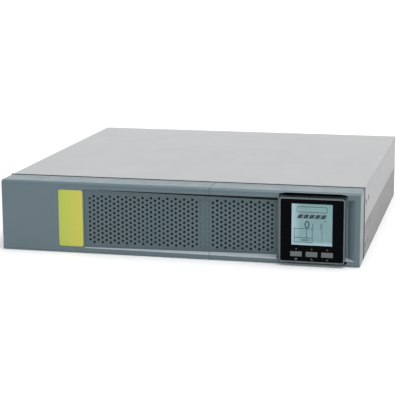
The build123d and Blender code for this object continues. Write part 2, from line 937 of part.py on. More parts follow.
for number, x in enumerate(button_places, start=1):
    with BuildPart() as display_button:
        block(
            (x - button_width / 2, x + button_width / 2),
            (display_front_y - button_proud, button_rim_y),
            (button_z - button_height / 2, button_z + button_height / 2),
        )
        front_edges = display_button.edges().group_by(Axis.Y)[0]
        fillet(front_edges, button_edge)
        block(
            (x - button_width / 2 - button_rim, x + button_width / 2 + button_rim),
            (button_rim_y, button_back_y),
            (button_z - button_height / 2 - button_rim, button_z + button_height / 2 + button_rim),
        )
    save(display_button, f"display_button_{number}")

with BuildPart() as display_retainer:
    ring_y = (sleeve_end_y + retainer_gap, neck_end_y)
    rod_y(display_x, display_z, neck_radius + retainer_overhang, ring_y)
    rod_y(display_x, display_z, neck_radius + retainer_fit, (ring_y[0] - 1, ring_y[1] + 1), Mode.SUBTRACT)
save(display_retainer, "display_retainer")

# ---------------------------------------------------------------- battery pack

with BuildPart() as battery_tray:
    tray_z = (tray_floor_z, tray_floor_z + tray_side_height)
    block((bay_left, tray_right), (tray_front_y, tray_back_y), tray_z)
    block(
        (bay_left + sheet, tray_right - sheet),
        (tray_front_y - 1, tray_back_y - sheet),
        (battery_base_z, height),
        Mode.SUBTRACT,
    )
    block((flange_left, flange_right), (flange_y, tray_front_y), (tray_floor_z, flange_top_z))
    for x, z in left_bezel_posts:
        rod_y(x, z, post_radius + post_clearance, (flange_y - 1, tray_front_y + 1), Mode.SUBTRACT)
    for x, z in flange_screws:
        rod_y(x, z, screw_radius + sheet_gap, (flange_y - 1, tray_front_y + 1), Mode.SUBTRACT)
save(battery_tray, "battery_tray")

with BuildPart() as tray_screws:
    for x, z in flange_screws:
        rod_y(x, z, screw_radius, (flange_y, flange_y + screw_length))
        rod_y(x, z, thumb_radius, (flange_y - thumb_reach, flange_y))
save(tray_screws, "tray_screws")

with BuildPart() as tray_handle:
    handle_x = (tray_mid_x - handle_width / 2, tray_mid_x + handle_width / 2)
    handle_span_z = (handle_z - handle_bar, handle_z + handle_bar)
    block(handle_x, (handle_front_y, flange_y), handle_span_z)
    fillet(tray_handle.edges().filter_by(Axis.Z).group_by(Axis.Y)[0], handle_bar / 2)
    block(
        (handle_x[0] + handle_bar, handle_x[1] - handle_bar),
        (handle_front_y + handle_bar, flange_y + 1),
        (handle_span_z[0] - 1, handle_span_z[1] + 1),
        Mode.SUBTRACT,
    )
save(tray_handle, "tray_handle")

for row, y in enumerate(battery_rows):
    for column, x in enumerate(battery_columns):
        with BuildPart() as battery_block:
            block(
                (x - battery_width / 2, x + battery_width / 2),
                (y - battery_length / 2, y + battery_length / 2),
                (battery_base_z, battery_top_z),
            )
            fillet(battery_block.edges().filter_by(Axis.Z), battery_edge)
        save(battery_block, f"battery_block_{2 * row + column + 1}")

with BuildPart() as battery_terminals:
    for y in battery_rows:
        tab_y = y - battery_length / 2 + tab_inset
        for x in battery_columns:
            for side in (-1, 1):
                tab_x = x + side * tab_spread / 2
                block(
                    (tab_x - tab_width / 2, tab_x + tab_width / 2),
                    (tab_y, tab_y + tab_thickness),
                    (battery_top_z, battery_top_z + tab_height),
                )
        link_reach = (tab_spread - tab_width) / 2
        block(
            (battery_columns[0] + link_reach, battery_columns[1] - link_reach),
            (tab_y + tab_thickness, tab_y + tab_thickness + link_thickness),
            (battery_top_z + tab_height / 3, battery_top_z + tab_height),
        )
save(battery_terminals, "battery_terminals")

with BuildPart() as battery_straps:
    strap_out = (bay_left + sheet + strap_gap, tray_right - sheet - strap_gap)
    strap_in = (strap_out[0] + strap_thickness, strap_out[1] - strap_thickness)
    strap_top_z = battery_top_z + strap_thickness
    for y in battery_rows:
        strap_y = (y - strap_width / 2, y + strap_width / 2)
        block(strap_out, strap_y, (battery_top_z, strap_top_z))
        for leg in ((strap_out[0], strap_in[0]), (strap_in[1], strap_out[1])):
            block(leg, strap_y, (battery_top_z - strap_leg, strap_top_z))
save(battery_straps, "battery_straps")

plug_places = [(tray_mid_x - plug_pin_spacing / 2, plug_z), (tray_mid_x + plug_pin_spacing / 2, plug_z)]

with BuildPart() as battery_plug:
    block(
        (tray_mid_x - plug_width / 2, tray_mid_x + plug_width / 2),
        (tray_back_y, tray_back_y + plug_length),
        (plug_z - plug_height / 2, plug_z + plug_height / 2),
    )
    for x, z in plug_places:
        rod_y(x, z, plug_pin_radius, (tray_back_y + plug_length, tray_back_y + plug_length + plug_pin_length))
save(battery_plug, "battery_plug")

with BuildPart() as battery_socket:
    block(
        (tray_mid_x - plug_width / 2, tray_mid_x + plug_width / 2),
        (bay_back_y - plug_length, bay_back_y),
        (plug_z - plug_height / 2, plug_z + plug_height / 2),
    )
    for x, z in plug_places:
        hole_y = (bay_back_y - plug_length - 1, bay_back_y - plug_length + plug_pin_length)
        rod_y(x, z, plug_pin_radius + plug_pin_clearance, hole_y, Mode.SUBTRACT)
save(battery_socket, "battery_socket")

# ---------------------------------------------------------------- power board

with BuildPart() as power_board:
    block((pcb_left, pcb_right), (pcb_front_y, pcb_back_y), (pcb_base_z, pcb_top_z))
save(power_board, "power_board")

with BuildPart() as board_standoffs:
    for x in (pcb_left + standoff_inset, pcb_right - standoff_inset):
        for y in (pcb_front_y + standoff_inset, (pcb_front_y + pcb_back_y) / 2, pcb_back_y - standoff_inset):
            post_z(x, y, standoff_radius, (sheet, pcb_base_z))
save(board_standoffs, "board_standoffs")

sink_y = (pcb_front_y + sink_setback, pcb_front_y + sink_setback + sink_length)

for number, x in enumerate(sink_places, start=1):
    with BuildPart() as heat_sink:
        block((x - sink_width / 2, x + sink_width / 2), sink_y, (pcb_top_z, pcb_top_z + sink_height))
        fin_pitch = (sink_width - sink_fin) / (sink_fin_count - 1)
        for gap in range(sink_fin_count - 1):
            fin_right = x - sink_width / 2 + sink_fin + gap * fin_pitch
            block(
                (fin_right, fin_right + fin_pitch - sink_fin),
                (sink_y[0] - 1, sink_y[1] + 1),
                (pcb_top_z + sink_base, pcb_top_z + sink_height + 1),
                Mode.SUBTRACT,
            )
    save(heat_sink, f"heat_sink_{number}")

with BuildPart() as power_transistors:
    for x in sink_places:
        side_x = x + sink_width / 2
        for n in range(3):
            y = sink_y[0] + sink_length / 2 + (n - 1) * transistor_pitch
            foot_z = pcb_top_z + transistor_lift
            body_y = (y - transistor_width / 2, y + transistor_width / 2)
            block((side_x, side_x + transistor_thickness), body_y, (foot_z, foot_z + transistor_height))
            legs_x = (side_x + transistor_legs, side_x + transistor_legs + tab_thickness)
            legs_y = (body_y[0] + transistor_legs, body_y[1] - transistor_legs)
            block(legs_x, legs_y, (pcb_top_z, foot_z))
save(power_transistors, "power_transistors")

with BuildPart() as bulk_capacitors:
    for column in range(2):
        for row in range(2):
            x = capacitor_x + (column - 0.5) * capacitor_pitch
            y = pcb_front_y + capacitor_setback + (row - 0.5) * capacitor_pitch
            post_z(x, y, capacitor_radius, (pcb_top_z, pcb_top_z + capacitor_height))
    fillet(bulk_capacitors.edges().group_by(Axis.Z)[-1], capacitor_edge)
save(bulk_capacitors, "bulk_capacitors")

core_y = pcb_front_y + core_setback
core_mid_z = pcb_top_z + core_height / 2

with BuildPart() as transformer_core:
    block(
        (core_x - core_length / 2, core_x + core_length / 2),
        (core_y - core_stack / 2, core_y + core_stack / 2),
        (pcb_top_z, pcb_top_z + core_height),
    )
    for side in (-1, 1):
        near = core_x + side * core_leg / 2
        far = near + side * core_window
        block(
            tuple(sorted((near, far))),
            (core_y - core_stack, core_y + core_stack),
            (core_mid_z - core_window_height / 2, core_mid_z + core_window_height / 2),
            Mode.SUBTRACT,
        )
save(transformer_core, "transformer_core")

with BuildPart() as transformer_coil:
    coil_z = (core_mid_z - core_window_height / 2 + coil_gap, core_mid_z + core_window_height / 2 - coil_gap)
    coil_x = core_leg / 2 + core_window - coil_gap
    coil_y = core_stack / 2 + coil_build
    bore_x = core_leg / 2 + coil_gap
    bore_y = core_stack / 2 + coil_gap
    block((core_x - coil_x, core_x + coil_x), (core_y - coil_y, core_y + coil_y), coil_z)
    fillet(transformer_coil.edges().filter_by(Axis.Z), coil_build / 2)
    block((core_x - bore_x, core_x + bore_x), (core_y - bore_y, core_y + bore_y), (0, height), Mode.SUBTRACT)
save(transformer_coil, "transformer_coil")

with BuildPart() as choke:
    choke_y = pcb_front_y + choke_setback
    post_z(choke_x, choke_y, choke_radius, (pcb_top_z, pcb_top_z + choke_height))
    fillet(choke.edges().filter_by(GeomType.CIRCLE), choke_height / 4)
    post_z(choke_x, choke_y, choke_bore, (pcb_top_z - 1, pcb_top_z + choke_height + 1), Mode.SUBTRACT)
save(choke, "choke")

with BuildPart() as relays:
    for n in range(relay_count):
        y = pcb_front_y + relay_setback - n * relay_pitch
        block(
            (relay_x - relay_width / 2, relay_x + relay_width / 2),
            (y - relay_length / 2, y + relay_length / 2),
            (pcb_top_z, pcb_top_z + relay_height),
        )
save(relays, "relays")

with BuildPart() as control_card:
    card_y = pcb_front_y + card_setback
    block((card_left, card_right), (card_y, card_y + board_thickness), (pcb_top_z, pcb_top_z + card_height))
save(control_card, "control_card")

# ---------------------------------------------------------------- fan

with BuildPart() as fan_frame:
    fan_y = (fan_front_y, rear_y - sheet)
    rounded_plate_y(fan_x, mid_z, fan_size, fan_size, fan_strut, fan_y)
    rod_y(fan_x, mid_z, fan_bore, (fan_y[0] - 1, fan_y[1] + 1), Mode.SUBTRACT)
    for turn in (45, 135):
        with BuildSketch(Plane.XZ.offset(-fan_y[0])) as strut:
            with Locations((fan_x, mid_z)):
                Rectangle(2 * fan_bore + 2, fan_strut, rotation=turn)
        extrude(strut.sketch, amount=-fan_strut)
    rod_y(fan_x, mid_z, fan_hub_radius, (fan_y[0], fan_y[0] + fan_strut))
    bore_y = (fan_y[0] - 1, fan_y[0] + fan_strut + 1)
    rod_y(fan_x, mid_z, fan_shaft_radius + fan_shaft_clearance, bore_y, Mode.SUBTRACT)
    for x, z in fan_holes:
        rod_y(x, z, fan_hole_radius, (fan_y[0] - 1, fan_y[1] + 1), Mode.SUBTRACT)
save(fan_frame, "fan_frame")

with BuildPart() as fan_rotor:
    rotor_y = (fan_front_y + fan_strut + fan_side_gap, rear_y - sheet - fan_side_gap)
    rod_y(fan_x, mid_z, fan_hub_radius, rotor_y)
    rod_y(fan_x, mid_z, fan_shaft_radius, (fan_front_y, rotor_y[0]))
    blade_length = fan_bore - fan_tip_clearance - fan_hub_radius + 1
    for n in range(fan_blade_count):
        blade_frame = Plane(
            origin=(fan_x, (rotor_y[0] + rotor_y[1]) / 2, mid_z),
            x_dir=Vector(0, 1, 0),
            z_dir=Vector(1, 0, 0).rotate(Axis.Y, n * 360 / fan_blade_count),
        )
        with BuildSketch(blade_frame.offset(fan_hub_radius - 1)) as blade:
            Rectangle(fan_blade_chord, fan_blade_thickness, rotation=fan_blade_pitch)
        extrude(blade.sketch, amount=blade_length)
save(fan_rotor, "fan_rotor")

with BuildPart() as fan_guard:
    with BuildSketch(Plane.XZ.offset(-rear_y)) as guard:
        with Locations((fan_x, mid_z)):
            for n in range(guard_rings, 0, -1):
                Circle(n * guard_ring_pitch + guard_wire)
                Circle(n * guard_ring_pitch - guard_wire, mode=Mode.SUBTRACT)
            for turn in (45, 135):
                Rectangle(2 * fan_hole_reach * 2**0.5, 2 * guard_wire, rotation=turn)
        with Locations(*fan_holes):
            Circle(fan_hole_radius + guard_eye)
        with Locations(*fan_holes):
            Circle(fan_hole_radius, mode=Mode.SUBTRACT)
    extrude(guard.sketch, amount=-2 * guard_wire)
save(fan_guard, "fan_guard")

with BuildPart() as fan_screws:
    head_y = rear_y + 2 * guard_wire
    for x, z in fan_holes:
        rod_y(x, z, fan_screw_radius, (rear_y - sheet - fan_screw_bite, head_y))
        rod_y(x, z, fan_screw_head_radius, (head_y, head_y + fan_screw_head))
save(fan_screws, "fan_screws")

# ---------------------------------------------------------------- rear fittings


def fitting_shell(x, z, opening_width, opening_height, depth):
    """Add a panel fitting: a flange outside the rear panel and a box behind it."""
    body = (opening_width / 2 + fitting_rim, opening_height / 2 + fitting_rim)
    flange = (body[0] + fitting_flange, body[1] + fitting_flange)
    block((x - body[0], x + body[0]), (rear_y - depth, rear_y), (z - body[1], z + body[1]))
    block((x - flange[0], x + flange[0]), (rear_y, rear_y + fitting_flange), (z - flange[1], z + flange[1]))


def socket_cavity(x, z, cavity_width, cavity_height, chamfer_size, depth, mode):
    """Cut or add the shape of an appliance coupler, a rectangle with two cut corners."""
    mouth_y = rear_y + fitting_flange
    with BuildSketch(Plane.XZ.offset(-mouth_y)) as face:
        with Locations((x, z)):
            Rectangle(cavity_width, cavity_height)
        chamfer(face.vertices().group_by(Axis.Z)[-1], chamfer_size)
    extrude(face.sketch, amount=depth, mode=mode)


with BuildPart() as power_inlet:
    fitting_shell(inlet_x, inlet_z, socket_width, socket_height, fitting_back)
    socket_cavity(inlet_x, inlet_z, socket_width, socket_height, socket_chamfer, socket_depth, Mode.SUBTRACT)
save(power_inlet, "power_inlet")

with BuildPart() as inlet_pins:
    pin_floor_y = rear_y + fitting_flange - socket_depth
    for across, up in pin_pattern:
        block(
            (inlet_x + across - pin_width / 2, inlet_x + across + pin_width / 2),
            (pin_floor_y, pin_floor_y + pin_length),
            (inlet_z + up - pin_height / 2, inlet_z + up + pin_height / 2),
        )
save(inlet_pins, "inlet_pins")

for bank, bank_z in (("lower", outlet_low_z), ("upper", outlet_high_z)):
    with BuildPart() as outlet_bank:
        fitting_shell(outlet_x, bank_z, outlet_bank_width, outlet_bank_height, fitting_back)
        groove_width = outlet_core_width + 2 * outlet_groove
        core_chamfer = socket_chamfer - outlet_groove / 2
        slot_half_x = pin_width / 2 + slot_clearance
        slot_half_z = pin_height / 2 + slot_clearance
        mouth_y = rear_y + fitting_flange
        for x in outlet_places:
            groove = (groove_width, outlet_bank_height, socket_chamfer, outlet_depth)
            socket_cavity(x, bank_z, *groove, Mode.SUBTRACT)
            core = (outlet_core_width, outlet_core_height, core_chamfer, outlet_depth)
            socket_cavity(x, bank_z, *core, Mode.ADD)
            for across, up in pin_pattern:
                block(
                    (x + across - slot_half_x, x + across + slot_half_x),
                    (mouth_y - pin_length, mouth_y + 1),
                    (bank_z + up - slot_half_z, bank_z + up + slot_half_z),
                    Mode.SUBTRACT,
                )
    save(outlet_bank, f"outlet_bank_{bank}")

with BuildPart() as breaker_body:
    fitting_shell(inlet_x, breaker_z, breaker_width, breaker_width, fitting_back)
    bore_y = (rear_y + fitting_flange - breaker_bore_depth, rear_y + fitting_flange + 1)
    rod_y(inlet_x, breaker_z, breaker_button_radius + breaker_button_clearance, bore_y, Mode.SUBTRACT)
save(breaker_body, "breaker_body")

with BuildPart() as breaker_button:
    floor_y = rear_y + fitting_flange - breaker_bore_depth
    tip_y = rear_y + fitting_flange + breaker_button_proud
    rod_y(inlet_x, breaker_z, breaker_button_radius, (floor_y + breaker_button_clearance, tip_y))
    fillet(breaker_button.edges().group_by(Axis.Y)[-1], breaker_button_edge)
save(breaker_button, "breaker_button")

with BuildPart() as slot_cover:
    half_width = slot_width / 2 + slot_margin
    half_height = slot_height / 2 + slot_overlap
    block(
        (slot_x - half_width, slot_x + half_width),
        (rear_y, rear_y + sheet),
        (slot_z - half_height, slot_z + half_height),
    )
    for x, z in slot_screws:
        rod_y(x, z, screw_radius + sheet_gap, (rear_y - 1, rear_y + sheet + 1), Mode.SUBTRACT)
save(slot_cover, "slot_cover")

with BuildPart() as slot_screws_pair:
    for x, z in slot_screws:
        rod_y(x, z, screw_radius, (rear_y - screw_length, rear_y + sheet))
        rod_y(x, z, thumb_radius, (rear_y + sheet, rear_y + thumb_reach))
save(slot_screws_pair, "slot_screws")

with BuildPart() as port_board:
    port_lefts = [x - port_width / 2 for x, port_width, _ in ports.values()]
    port_rights = [x + port_width / 2 for x, port_width, _ in ports.values()]
    board_x = (min(port_lefts) - port_board_margin, max(port_rights) + port_board_margin)
    board_y = (rear_y - sheet - port_board_depth, rear_y - sheet - sheet_gap)
    block(board_x, board_y, (port_base_z - pcb_thickness, port_base_z))
    for x in (board_x[0] + standoff_inset, board_x[1] - standoff_inset):
        post_z(x, board_y[0] + standoff_inset, standoff_radius, (sheet, port_base_z - pcb_thickness))
save(port_board, "port_board")

with BuildPart() as port_blocks:
    for x, port_width, port_height in ports.values():
        block(
            (x - port_width / 2, x + port_width / 2),
            (rear_y - sheet - port_depth, rear_y + port_proud),
            (port_base_z, port_base_z + port_height),
        )
        block(
            (x - port_width / 2 + port_rim, x + port_width / 2 - port_rim),
            (rear_y + port_proud - port_depth / 2, rear_y + port_proud + 1),
            (port_base_z + port_rim, port_base_z + port_height - port_rim),
            Mode.SUBTRACT,
        )
save(port_blocks, "port_blocks")
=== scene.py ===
import json
import logging
import math
from dataclasses import dataclass, field
from enum import Enum
from functools import cached_property

import bmesh
import bpy
from mathutils import Matrix, Vector


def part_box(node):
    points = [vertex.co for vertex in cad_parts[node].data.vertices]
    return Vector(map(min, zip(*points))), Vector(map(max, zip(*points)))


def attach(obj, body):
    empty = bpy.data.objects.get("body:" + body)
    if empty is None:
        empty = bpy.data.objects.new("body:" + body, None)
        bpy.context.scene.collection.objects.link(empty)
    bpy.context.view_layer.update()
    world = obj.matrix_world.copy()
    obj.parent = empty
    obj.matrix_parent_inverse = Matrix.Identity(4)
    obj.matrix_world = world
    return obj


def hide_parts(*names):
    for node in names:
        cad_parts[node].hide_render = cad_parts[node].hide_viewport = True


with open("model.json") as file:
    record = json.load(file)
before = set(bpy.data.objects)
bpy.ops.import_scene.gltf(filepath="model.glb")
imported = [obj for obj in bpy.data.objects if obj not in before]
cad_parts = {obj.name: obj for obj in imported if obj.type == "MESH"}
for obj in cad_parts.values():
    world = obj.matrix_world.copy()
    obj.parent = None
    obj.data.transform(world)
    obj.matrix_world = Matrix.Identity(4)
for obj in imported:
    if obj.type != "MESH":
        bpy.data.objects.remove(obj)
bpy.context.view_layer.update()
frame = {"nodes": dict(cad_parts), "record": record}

logging.basicConfig(level=logging.INFO, format="%(levelname)s %(message)s")
log = logging.getLogger("ups")

Colour = tuple[float, float, float]
Pair = tuple[float, float]


class Body(Enum):
    """The moving groups that a piece can ride on."""

    CASE = "case"
    TRAY = "battery_tray"
    COVER = "battery_cover"
    DISPLAY = "display"


class Slot(Enum):
    """The record's material slots, one passed with each new piece."""

    BEZEL = "bezel_plastic"
    TRIM = "trim_plastic"
    SCREEN = "lcd_glass"
    BLACK = "black_plastic"
    SCREW = "screw_steel"
    BRASS = "terminal_brass"
    COMPONENT = "component_black"
    COPPER = "coil_copper"


# ---------------------------------------------------------------- node graph


class Graph:
    """One material's node tree, with short ways to add nodes and join them."""

    def __init__(self, name: str) -> None:
        """Make an empty material whose shader is wired to its output.

        Args:
            name: The material's name, in a maker's plain words.
        """
        self.material = bpy.data.materials.new(name)
        self.material.use_nodes = True
        tree = self.material.node_tree
        tree.nodes.clear()
        self.nodes = tree.nodes
        self.links = tree.links
        self.shader = self.nodes.new("ShaderNodeBsdfPrincipled")
        output = self.nodes.new("ShaderNodeOutputMaterial")
        self.links.new(self.shader.outputs["BSDF"], output.inputs["Surface"])
        self.place = self.nodes.new("ShaderNodeTexCoord").outputs["Object"]

    def add(self, kind: str, **inputs: object) -> bpy.types.Node:
        """Add a shader node and fill its inputs.

        Args:
            kind: The node's type without the ShaderNode prefix.
            **inputs: Input names with spaces as underscores, each a value or an output socket.

        Returns:
            The new node.
        """
        node = self.nodes.new("ShaderNode" + kind)
        for name, value in inputs.items():
            self.feed(node.inputs[name.replace("_", " ")], value)
        return node

    def feed(self, socket: bpy.types.NodeSocket, value: object) -> None:
        """Join an output socket to an input, or set the input's own value.

        Args:
            socket: The input.
            value: An output socket, or a plain value.
        """
        if isinstance(value, bpy.types.NodeSocket):
            self.links.new(value, socket)
        else:
            socket.default_value = value

    def set_shader(self, **inputs: object) -> None:
        """Fill the main shader's inputs by name, with underscores for spaces."""
        for name, value in inputs.items():
            self.feed(self.shader.inputs[name.replace("_", " ")], value)

    def noise(self, scale: float, detail: float = 2.0, place: object = None) -> bpy.types.NodeSocket:
        """Return a noise value over the surface, with its scale in lumps per metre."""
        place = self.place if place is None else place
        return self.add("TexNoise", Vector=place, Scale=scale, Detail=detail).outputs["Fac"]

    def spread(self, factor: object, low: float, high: float) -> bpy.types.NodeSocket:
        """Return the factor's middle range stretched to run from low to high."""
        node = self.add("MapRange", Value=factor, From_Min=0.3, From_Max=0.7, To_Min=low, To_Max=high)
        return node.outputs["Result"]

    def blend(self, factor: object, low: object, high: object) -> bpy.types.NodeSocket:
        """Return the colour between low and high that the factor picks.

        Args:
            factor: Where between them, from 0 to 1.
            low: The colour at 0.
            high: The colour at 1.

        Returns:
            The socket that carries the colour.
        """
        node = self.nodes.new("ShaderNodeMix")
        node.data_type = "RGBA"
        self.feed(node.inputs["Factor"], factor)
        for index, value in ((6, low), (7, high)):
            colour = value if isinstance(value, bpy.types.NodeSocket) else (*value, 1.0)
            self.feed(node.inputs[index], colour)
        return node.outputs[2]

    def sums(self, operation: str, first: object, second: object = 0.0) -> bpy.types.NodeSocket:
        """Return the result of one arithmetic operation on two values.

        Args:
            operation: The Math node's operation.
            first: The first value or socket.
            second: The second value or socket.

        Returns:
            The socket that carries the result.
        """
        node = self.nodes.new("ShaderNodeMath")
        node.operation = operation
        self.feed(node.inputs[0], first)
        self.feed(node.inputs[1], second)
        return node.outputs[0]

    def axis(self, letter: str) -> bpy.types.NodeSocket:
        """Return one of the three object coordinates."""
        return self.add("SeparateXYZ", Vector=self.place).outputs[letter]

    def bump(self, height: object, depth: float) -> None:
        """Raise the surface by a height pattern, depth in metres at full height."""
        node = self.add("Bump", Height=height, Distance=depth, Strength=1.0)
        self.feed(self.shader.inputs["Normal"], node.outputs["Normal"])


def shade(colour: Colour, factor: float) -> Colour:
    """Return a colour made lighter or darker by a factor."""
    return tuple(min(1.0, channel * factor) for channel in colour)


# ---------------------------------------------------------------- finishes


@dataclass(frozen=True)
class Finish:
    """A surface finish, the base of every kind below."""

    name: str
    colour: Colour
    roughness: float = 0.5

    def make(self) -> bpy.types.Material:
        """Build the material.

        Returns:
            A material whose nodes vary its colour, gloss and surface.
        """
        graph = Graph(self.name)
        self.paint(graph)
        return graph.material

    def paint(self, graph: Graph) -> None:
        """Fill the graph with this finish."""
        raise NotImplementedError


@dataclass(frozen=True)
class PowderCoat(Finish):
    """Sprayed and baked paint on sheet steel, with a faint orange-peel surface."""

    peel_scale: float = 900.0
    peel_depth: float = 0.00006
    # In front of this Y the paint is painted near black as shade; far off unless set.
    shade_edge_y: float = -10.0

    def paint(self, graph: Graph) -> None:
        """Fill the graph with fine peel, a slight mottling, a little handling sheen and a painted shadow in front
        of shade_edge_y.

        Args:
            graph: The material's graph, filled in place.
        """
        mottle = graph.spread(graph.noise(14.0, 3.0), 0.0, 1.0)
        base = graph.blend(mottle, shade(self.colour, 0.97), shade(self.colour, 1.02))
        # Painted shadow: near-black paint in front of shade_edge_y stands in for the shadow gap at the bezel.
        painted_gap_shade = graph.sums("LESS_THAN", graph.axis("Y"), self.shade_edge_y)
        gloss = graph.spread(graph.noise(40.0, 4.0), self.roughness - 0.04, self.roughness + 0.05)
        graph.set_shader(Base_Color=graph.blend(painted_gap_shade, base, shade(self.colour, 0.12)), Roughness=gloss)
        graph.bump(graph.noise(self.peel_scale, 2.0), self.peel_depth)


@dataclass(frozen=True)
class Moulding(Finish):
    """Injection-moulded plastic with a fine spark-eroded grain."""

    grain_scale: float = 2600.0
    grain_depth: float = 0.00005
    variation: float = 0.03

    def paint(self, graph: Graph) -> None:
        """Fill the graph with grain, slow colour drift and slightly uneven gloss.

        Args:
            graph: The material's graph, filled in place.
        """
        gloss = graph.spread(graph.noise(60.0, 3.0), self.roughness - 0.05, self.roughness + 0.05)
        graph.set_shader(Base_Color=self.body(graph), Roughness=gloss)
        graph.bump(graph.noise(self.grain_scale, 3.0), self.grain_depth)

    def body(self, graph: Graph) -> bpy.types.NodeSocket:
        """Return the body colour with its slow drift.

        Args:
            graph: The material's graph, filled in place.

        Returns:
            The socket that carries the colour.
        """
        drift = graph.spread(graph.noise(9.0, 2.0), 0.0, 1.0)
        dark = shade(self.colour, 1.0 - self.variation)
        light = shade(self.colour, 1.0 + self.variation)
        return graph.blend(drift, dark, light)


@dataclass(frozen=True)
class Perforated(Moulding):
    """Moulded plastic on a slanting face, with painted shade in its holes below a thin skin."""

    foot: float = 0.0
    slope: float = 0.0
    skin: float = 0.0007

    def body(self, graph: Graph) -> bpy.types.NodeSocket:
        """Return the body colour, with painted shade deep inside the holes.

        Args:
            graph: The material's graph, filled in place.

        Returns:
            The socket that carries the colour.
        """
        # Painted shade: below the skin on the slanting face, the hole walls turn near black.
        face = graph.sums("ADD", graph.sums("MULTIPLY", graph.axis("X"), self.slope), self.foot)
        depth = graph.sums("SUBTRACT", graph.axis("Y"), face)
        inside = graph.add("MapRange", Value=depth, From_Min=self.skin, From_Max=self.skin + 0.0001)
        return graph.blend(inside.outputs["Result"], super().body(graph), (0.004, 0.005, 0.006))


@dataclass(frozen=True)
class Gloss(Finish):
    """Polished plastic or lacquer under a clear coat, with faint wipe marks."""

    coat: float = 1.0
    wipe: float = 0.03
    shine: float = 0.5

    def paint(self, graph: Graph) -> None:
        """Fill the graph with a smooth body and long soft wipe marks in its gloss.

        Args:
            graph: The material's graph, filled in place.
        """
        stretch = graph.add("Mapping", Vector=graph.place, Scale=(18.0, 18.0, 160.0)).outputs["Vector"]
        marks = graph.noise(1.0, 3.0, stretch)
        dust = graph.spread(graph.noise(3000.0, 1.0), 0.0, 1.0)
        base = graph.blend(dust, self.colour, shade(self.colour, 1.08))
        graph.set_shader(Base_Color=base, Coat_Weight=self.coat, Coat_Roughness=0.04)
        graph.set_shader(Specular_IOR_Level=self.shine)
        graph.set_shader(Roughness=graph.spread(marks, self.roughness, self.roughness + self.wipe))


class Metal(Enum):
    """How a bare metal surface was worked."""

    SPANGLED = "zinc spangle"
    DRAWN = "drawn lines"
    PLATED = "bright plating"


@dataclass(frozen=True)
class BareMetal(Finish):
    """Unpainted metal whose pattern follows how it was worked."""

    kind: Metal = Metal.PLATED

    def paint(self, graph: Graph) -> None:
        """Fill the graph with spangles, drawn lines or a faintly cloudy plating.

        Args:
            graph: The material's graph, filled in place.
        """
        graph.set_shader(Metallic=1.0)
        if self.kind is Metal.SPANGLED:
            crystal = graph.add("TexVoronoi", Vector=graph.place, Scale=140.0).outputs["Color"]
            pattern = graph.add("SeparateXYZ", Vector=crystal).outputs["X"]
            strength = 0.09
        elif self.kind is Metal.DRAWN:
            lines = graph.add("Mapping", Vector=graph.place, Scale=(900.0, 6.0, 900.0)).outputs["Vector"]
            pattern = graph.noise(1.0, 2.0, lines)
            strength = 0.12
        else:
            pattern = graph.noise(420.0, 3.0)
            strength = 0.05
        base = graph.blend(pattern, shade(self.colour, 1 - strength), shade(self.colour, 1 + strength))
        gloss = graph.spread(pattern, self.roughness - strength / 2, self.roughness + strength)
        graph.set_shader(Base_Color=base, Roughness=gloss)
        graph.bump(pattern, 0.00002)


@dataclass(frozen=True)
class Laminate(Finish):
    """Circuit board with copper tracks showing under its solder mask."""

    track: Colour = (0.09, 0.36, 0.18)
    track_pitch: float = 0.006

    def paint(self, graph: Graph) -> None:
        """Fill the graph with rows of tracks broken up by a coarse cell pattern.

        Args:
            graph: The material's graph, filled in place.
        """
        cells = graph.add("TexVoronoi", Vector=graph.place, Scale=60.0)
        cells.distance = "CHEBYCHEV"
        wobble = graph.sums("MULTIPLY", cells.outputs["Distance"], 0.02)
        along = graph.sums("ADD", graph.axis("X"), wobble)
        phase = graph.sums("DIVIDE", along, self.track_pitch)
        stripe = graph.sums("PINGPONG", phase, 0.5)
        lines = graph.sums("GREATER_THAN", stripe, 0.34)
        graph.set_shader(Base_Color=graph.blend(lines, self.colour, self.track), Roughness=self.roughness)
        graph.set_shader(Coat_Weight=0.5, Coat_Roughness=0.15)
        graph.bump(lines, 0.00004)


@dataclass(frozen=True)
class LiquidCrystal(Finish):
    """A lit reflective screen, paler towards its left and lower edges."""

    edge: Colour = (0.34, 0.47, 0.55)
    centre: tuple[float, float] = (0.0, 0.0)
    half: float = 0.024
    glow: float = 0.25

    def paint(self, graph: Graph) -> None:
        """Fill the graph with an edge-lit gradient and a fine row structure.

        Args:
            graph: The material's graph, filled in place.
        """
        across = graph.sums("SUBTRACT", graph.axis("X"), self.centre[0])
        up = graph.sums("SUBTRACT", graph.axis("Z"), self.centre[1])
        left = graph.add(
            "MapRange", Value=across, From_Min=-self.half, From_Max=-0.55 * self.half, To_Min=1.0, To_Max=0.0
        ).outputs["Result"]
        low = graph.add(
            "MapRange", Value=up, From_Min=-self.half, From_Max=-0.8 * self.half, To_Min=1.0, To_Max=0.0
        ).outputs["Result"]
        edge = graph.sums("MAXIMUM", left, low)
        cloud = graph.spread(graph.noise(60.0, 2.0), -0.08, 0.08)
        tint = graph.blend(graph.sums("ADD", edge, cloud), self.colour, self.edge)
        graph.set_shader(Base_Color=tint, Emission_Color=tint, Emission_Strength=self.glow)
        graph.set_shader(Roughness=self.roughness, Coat_Weight=0.6, Coat_Roughness=0.06)
        graph.bump(graph.noise(5000.0, 1.0), 0.00001)


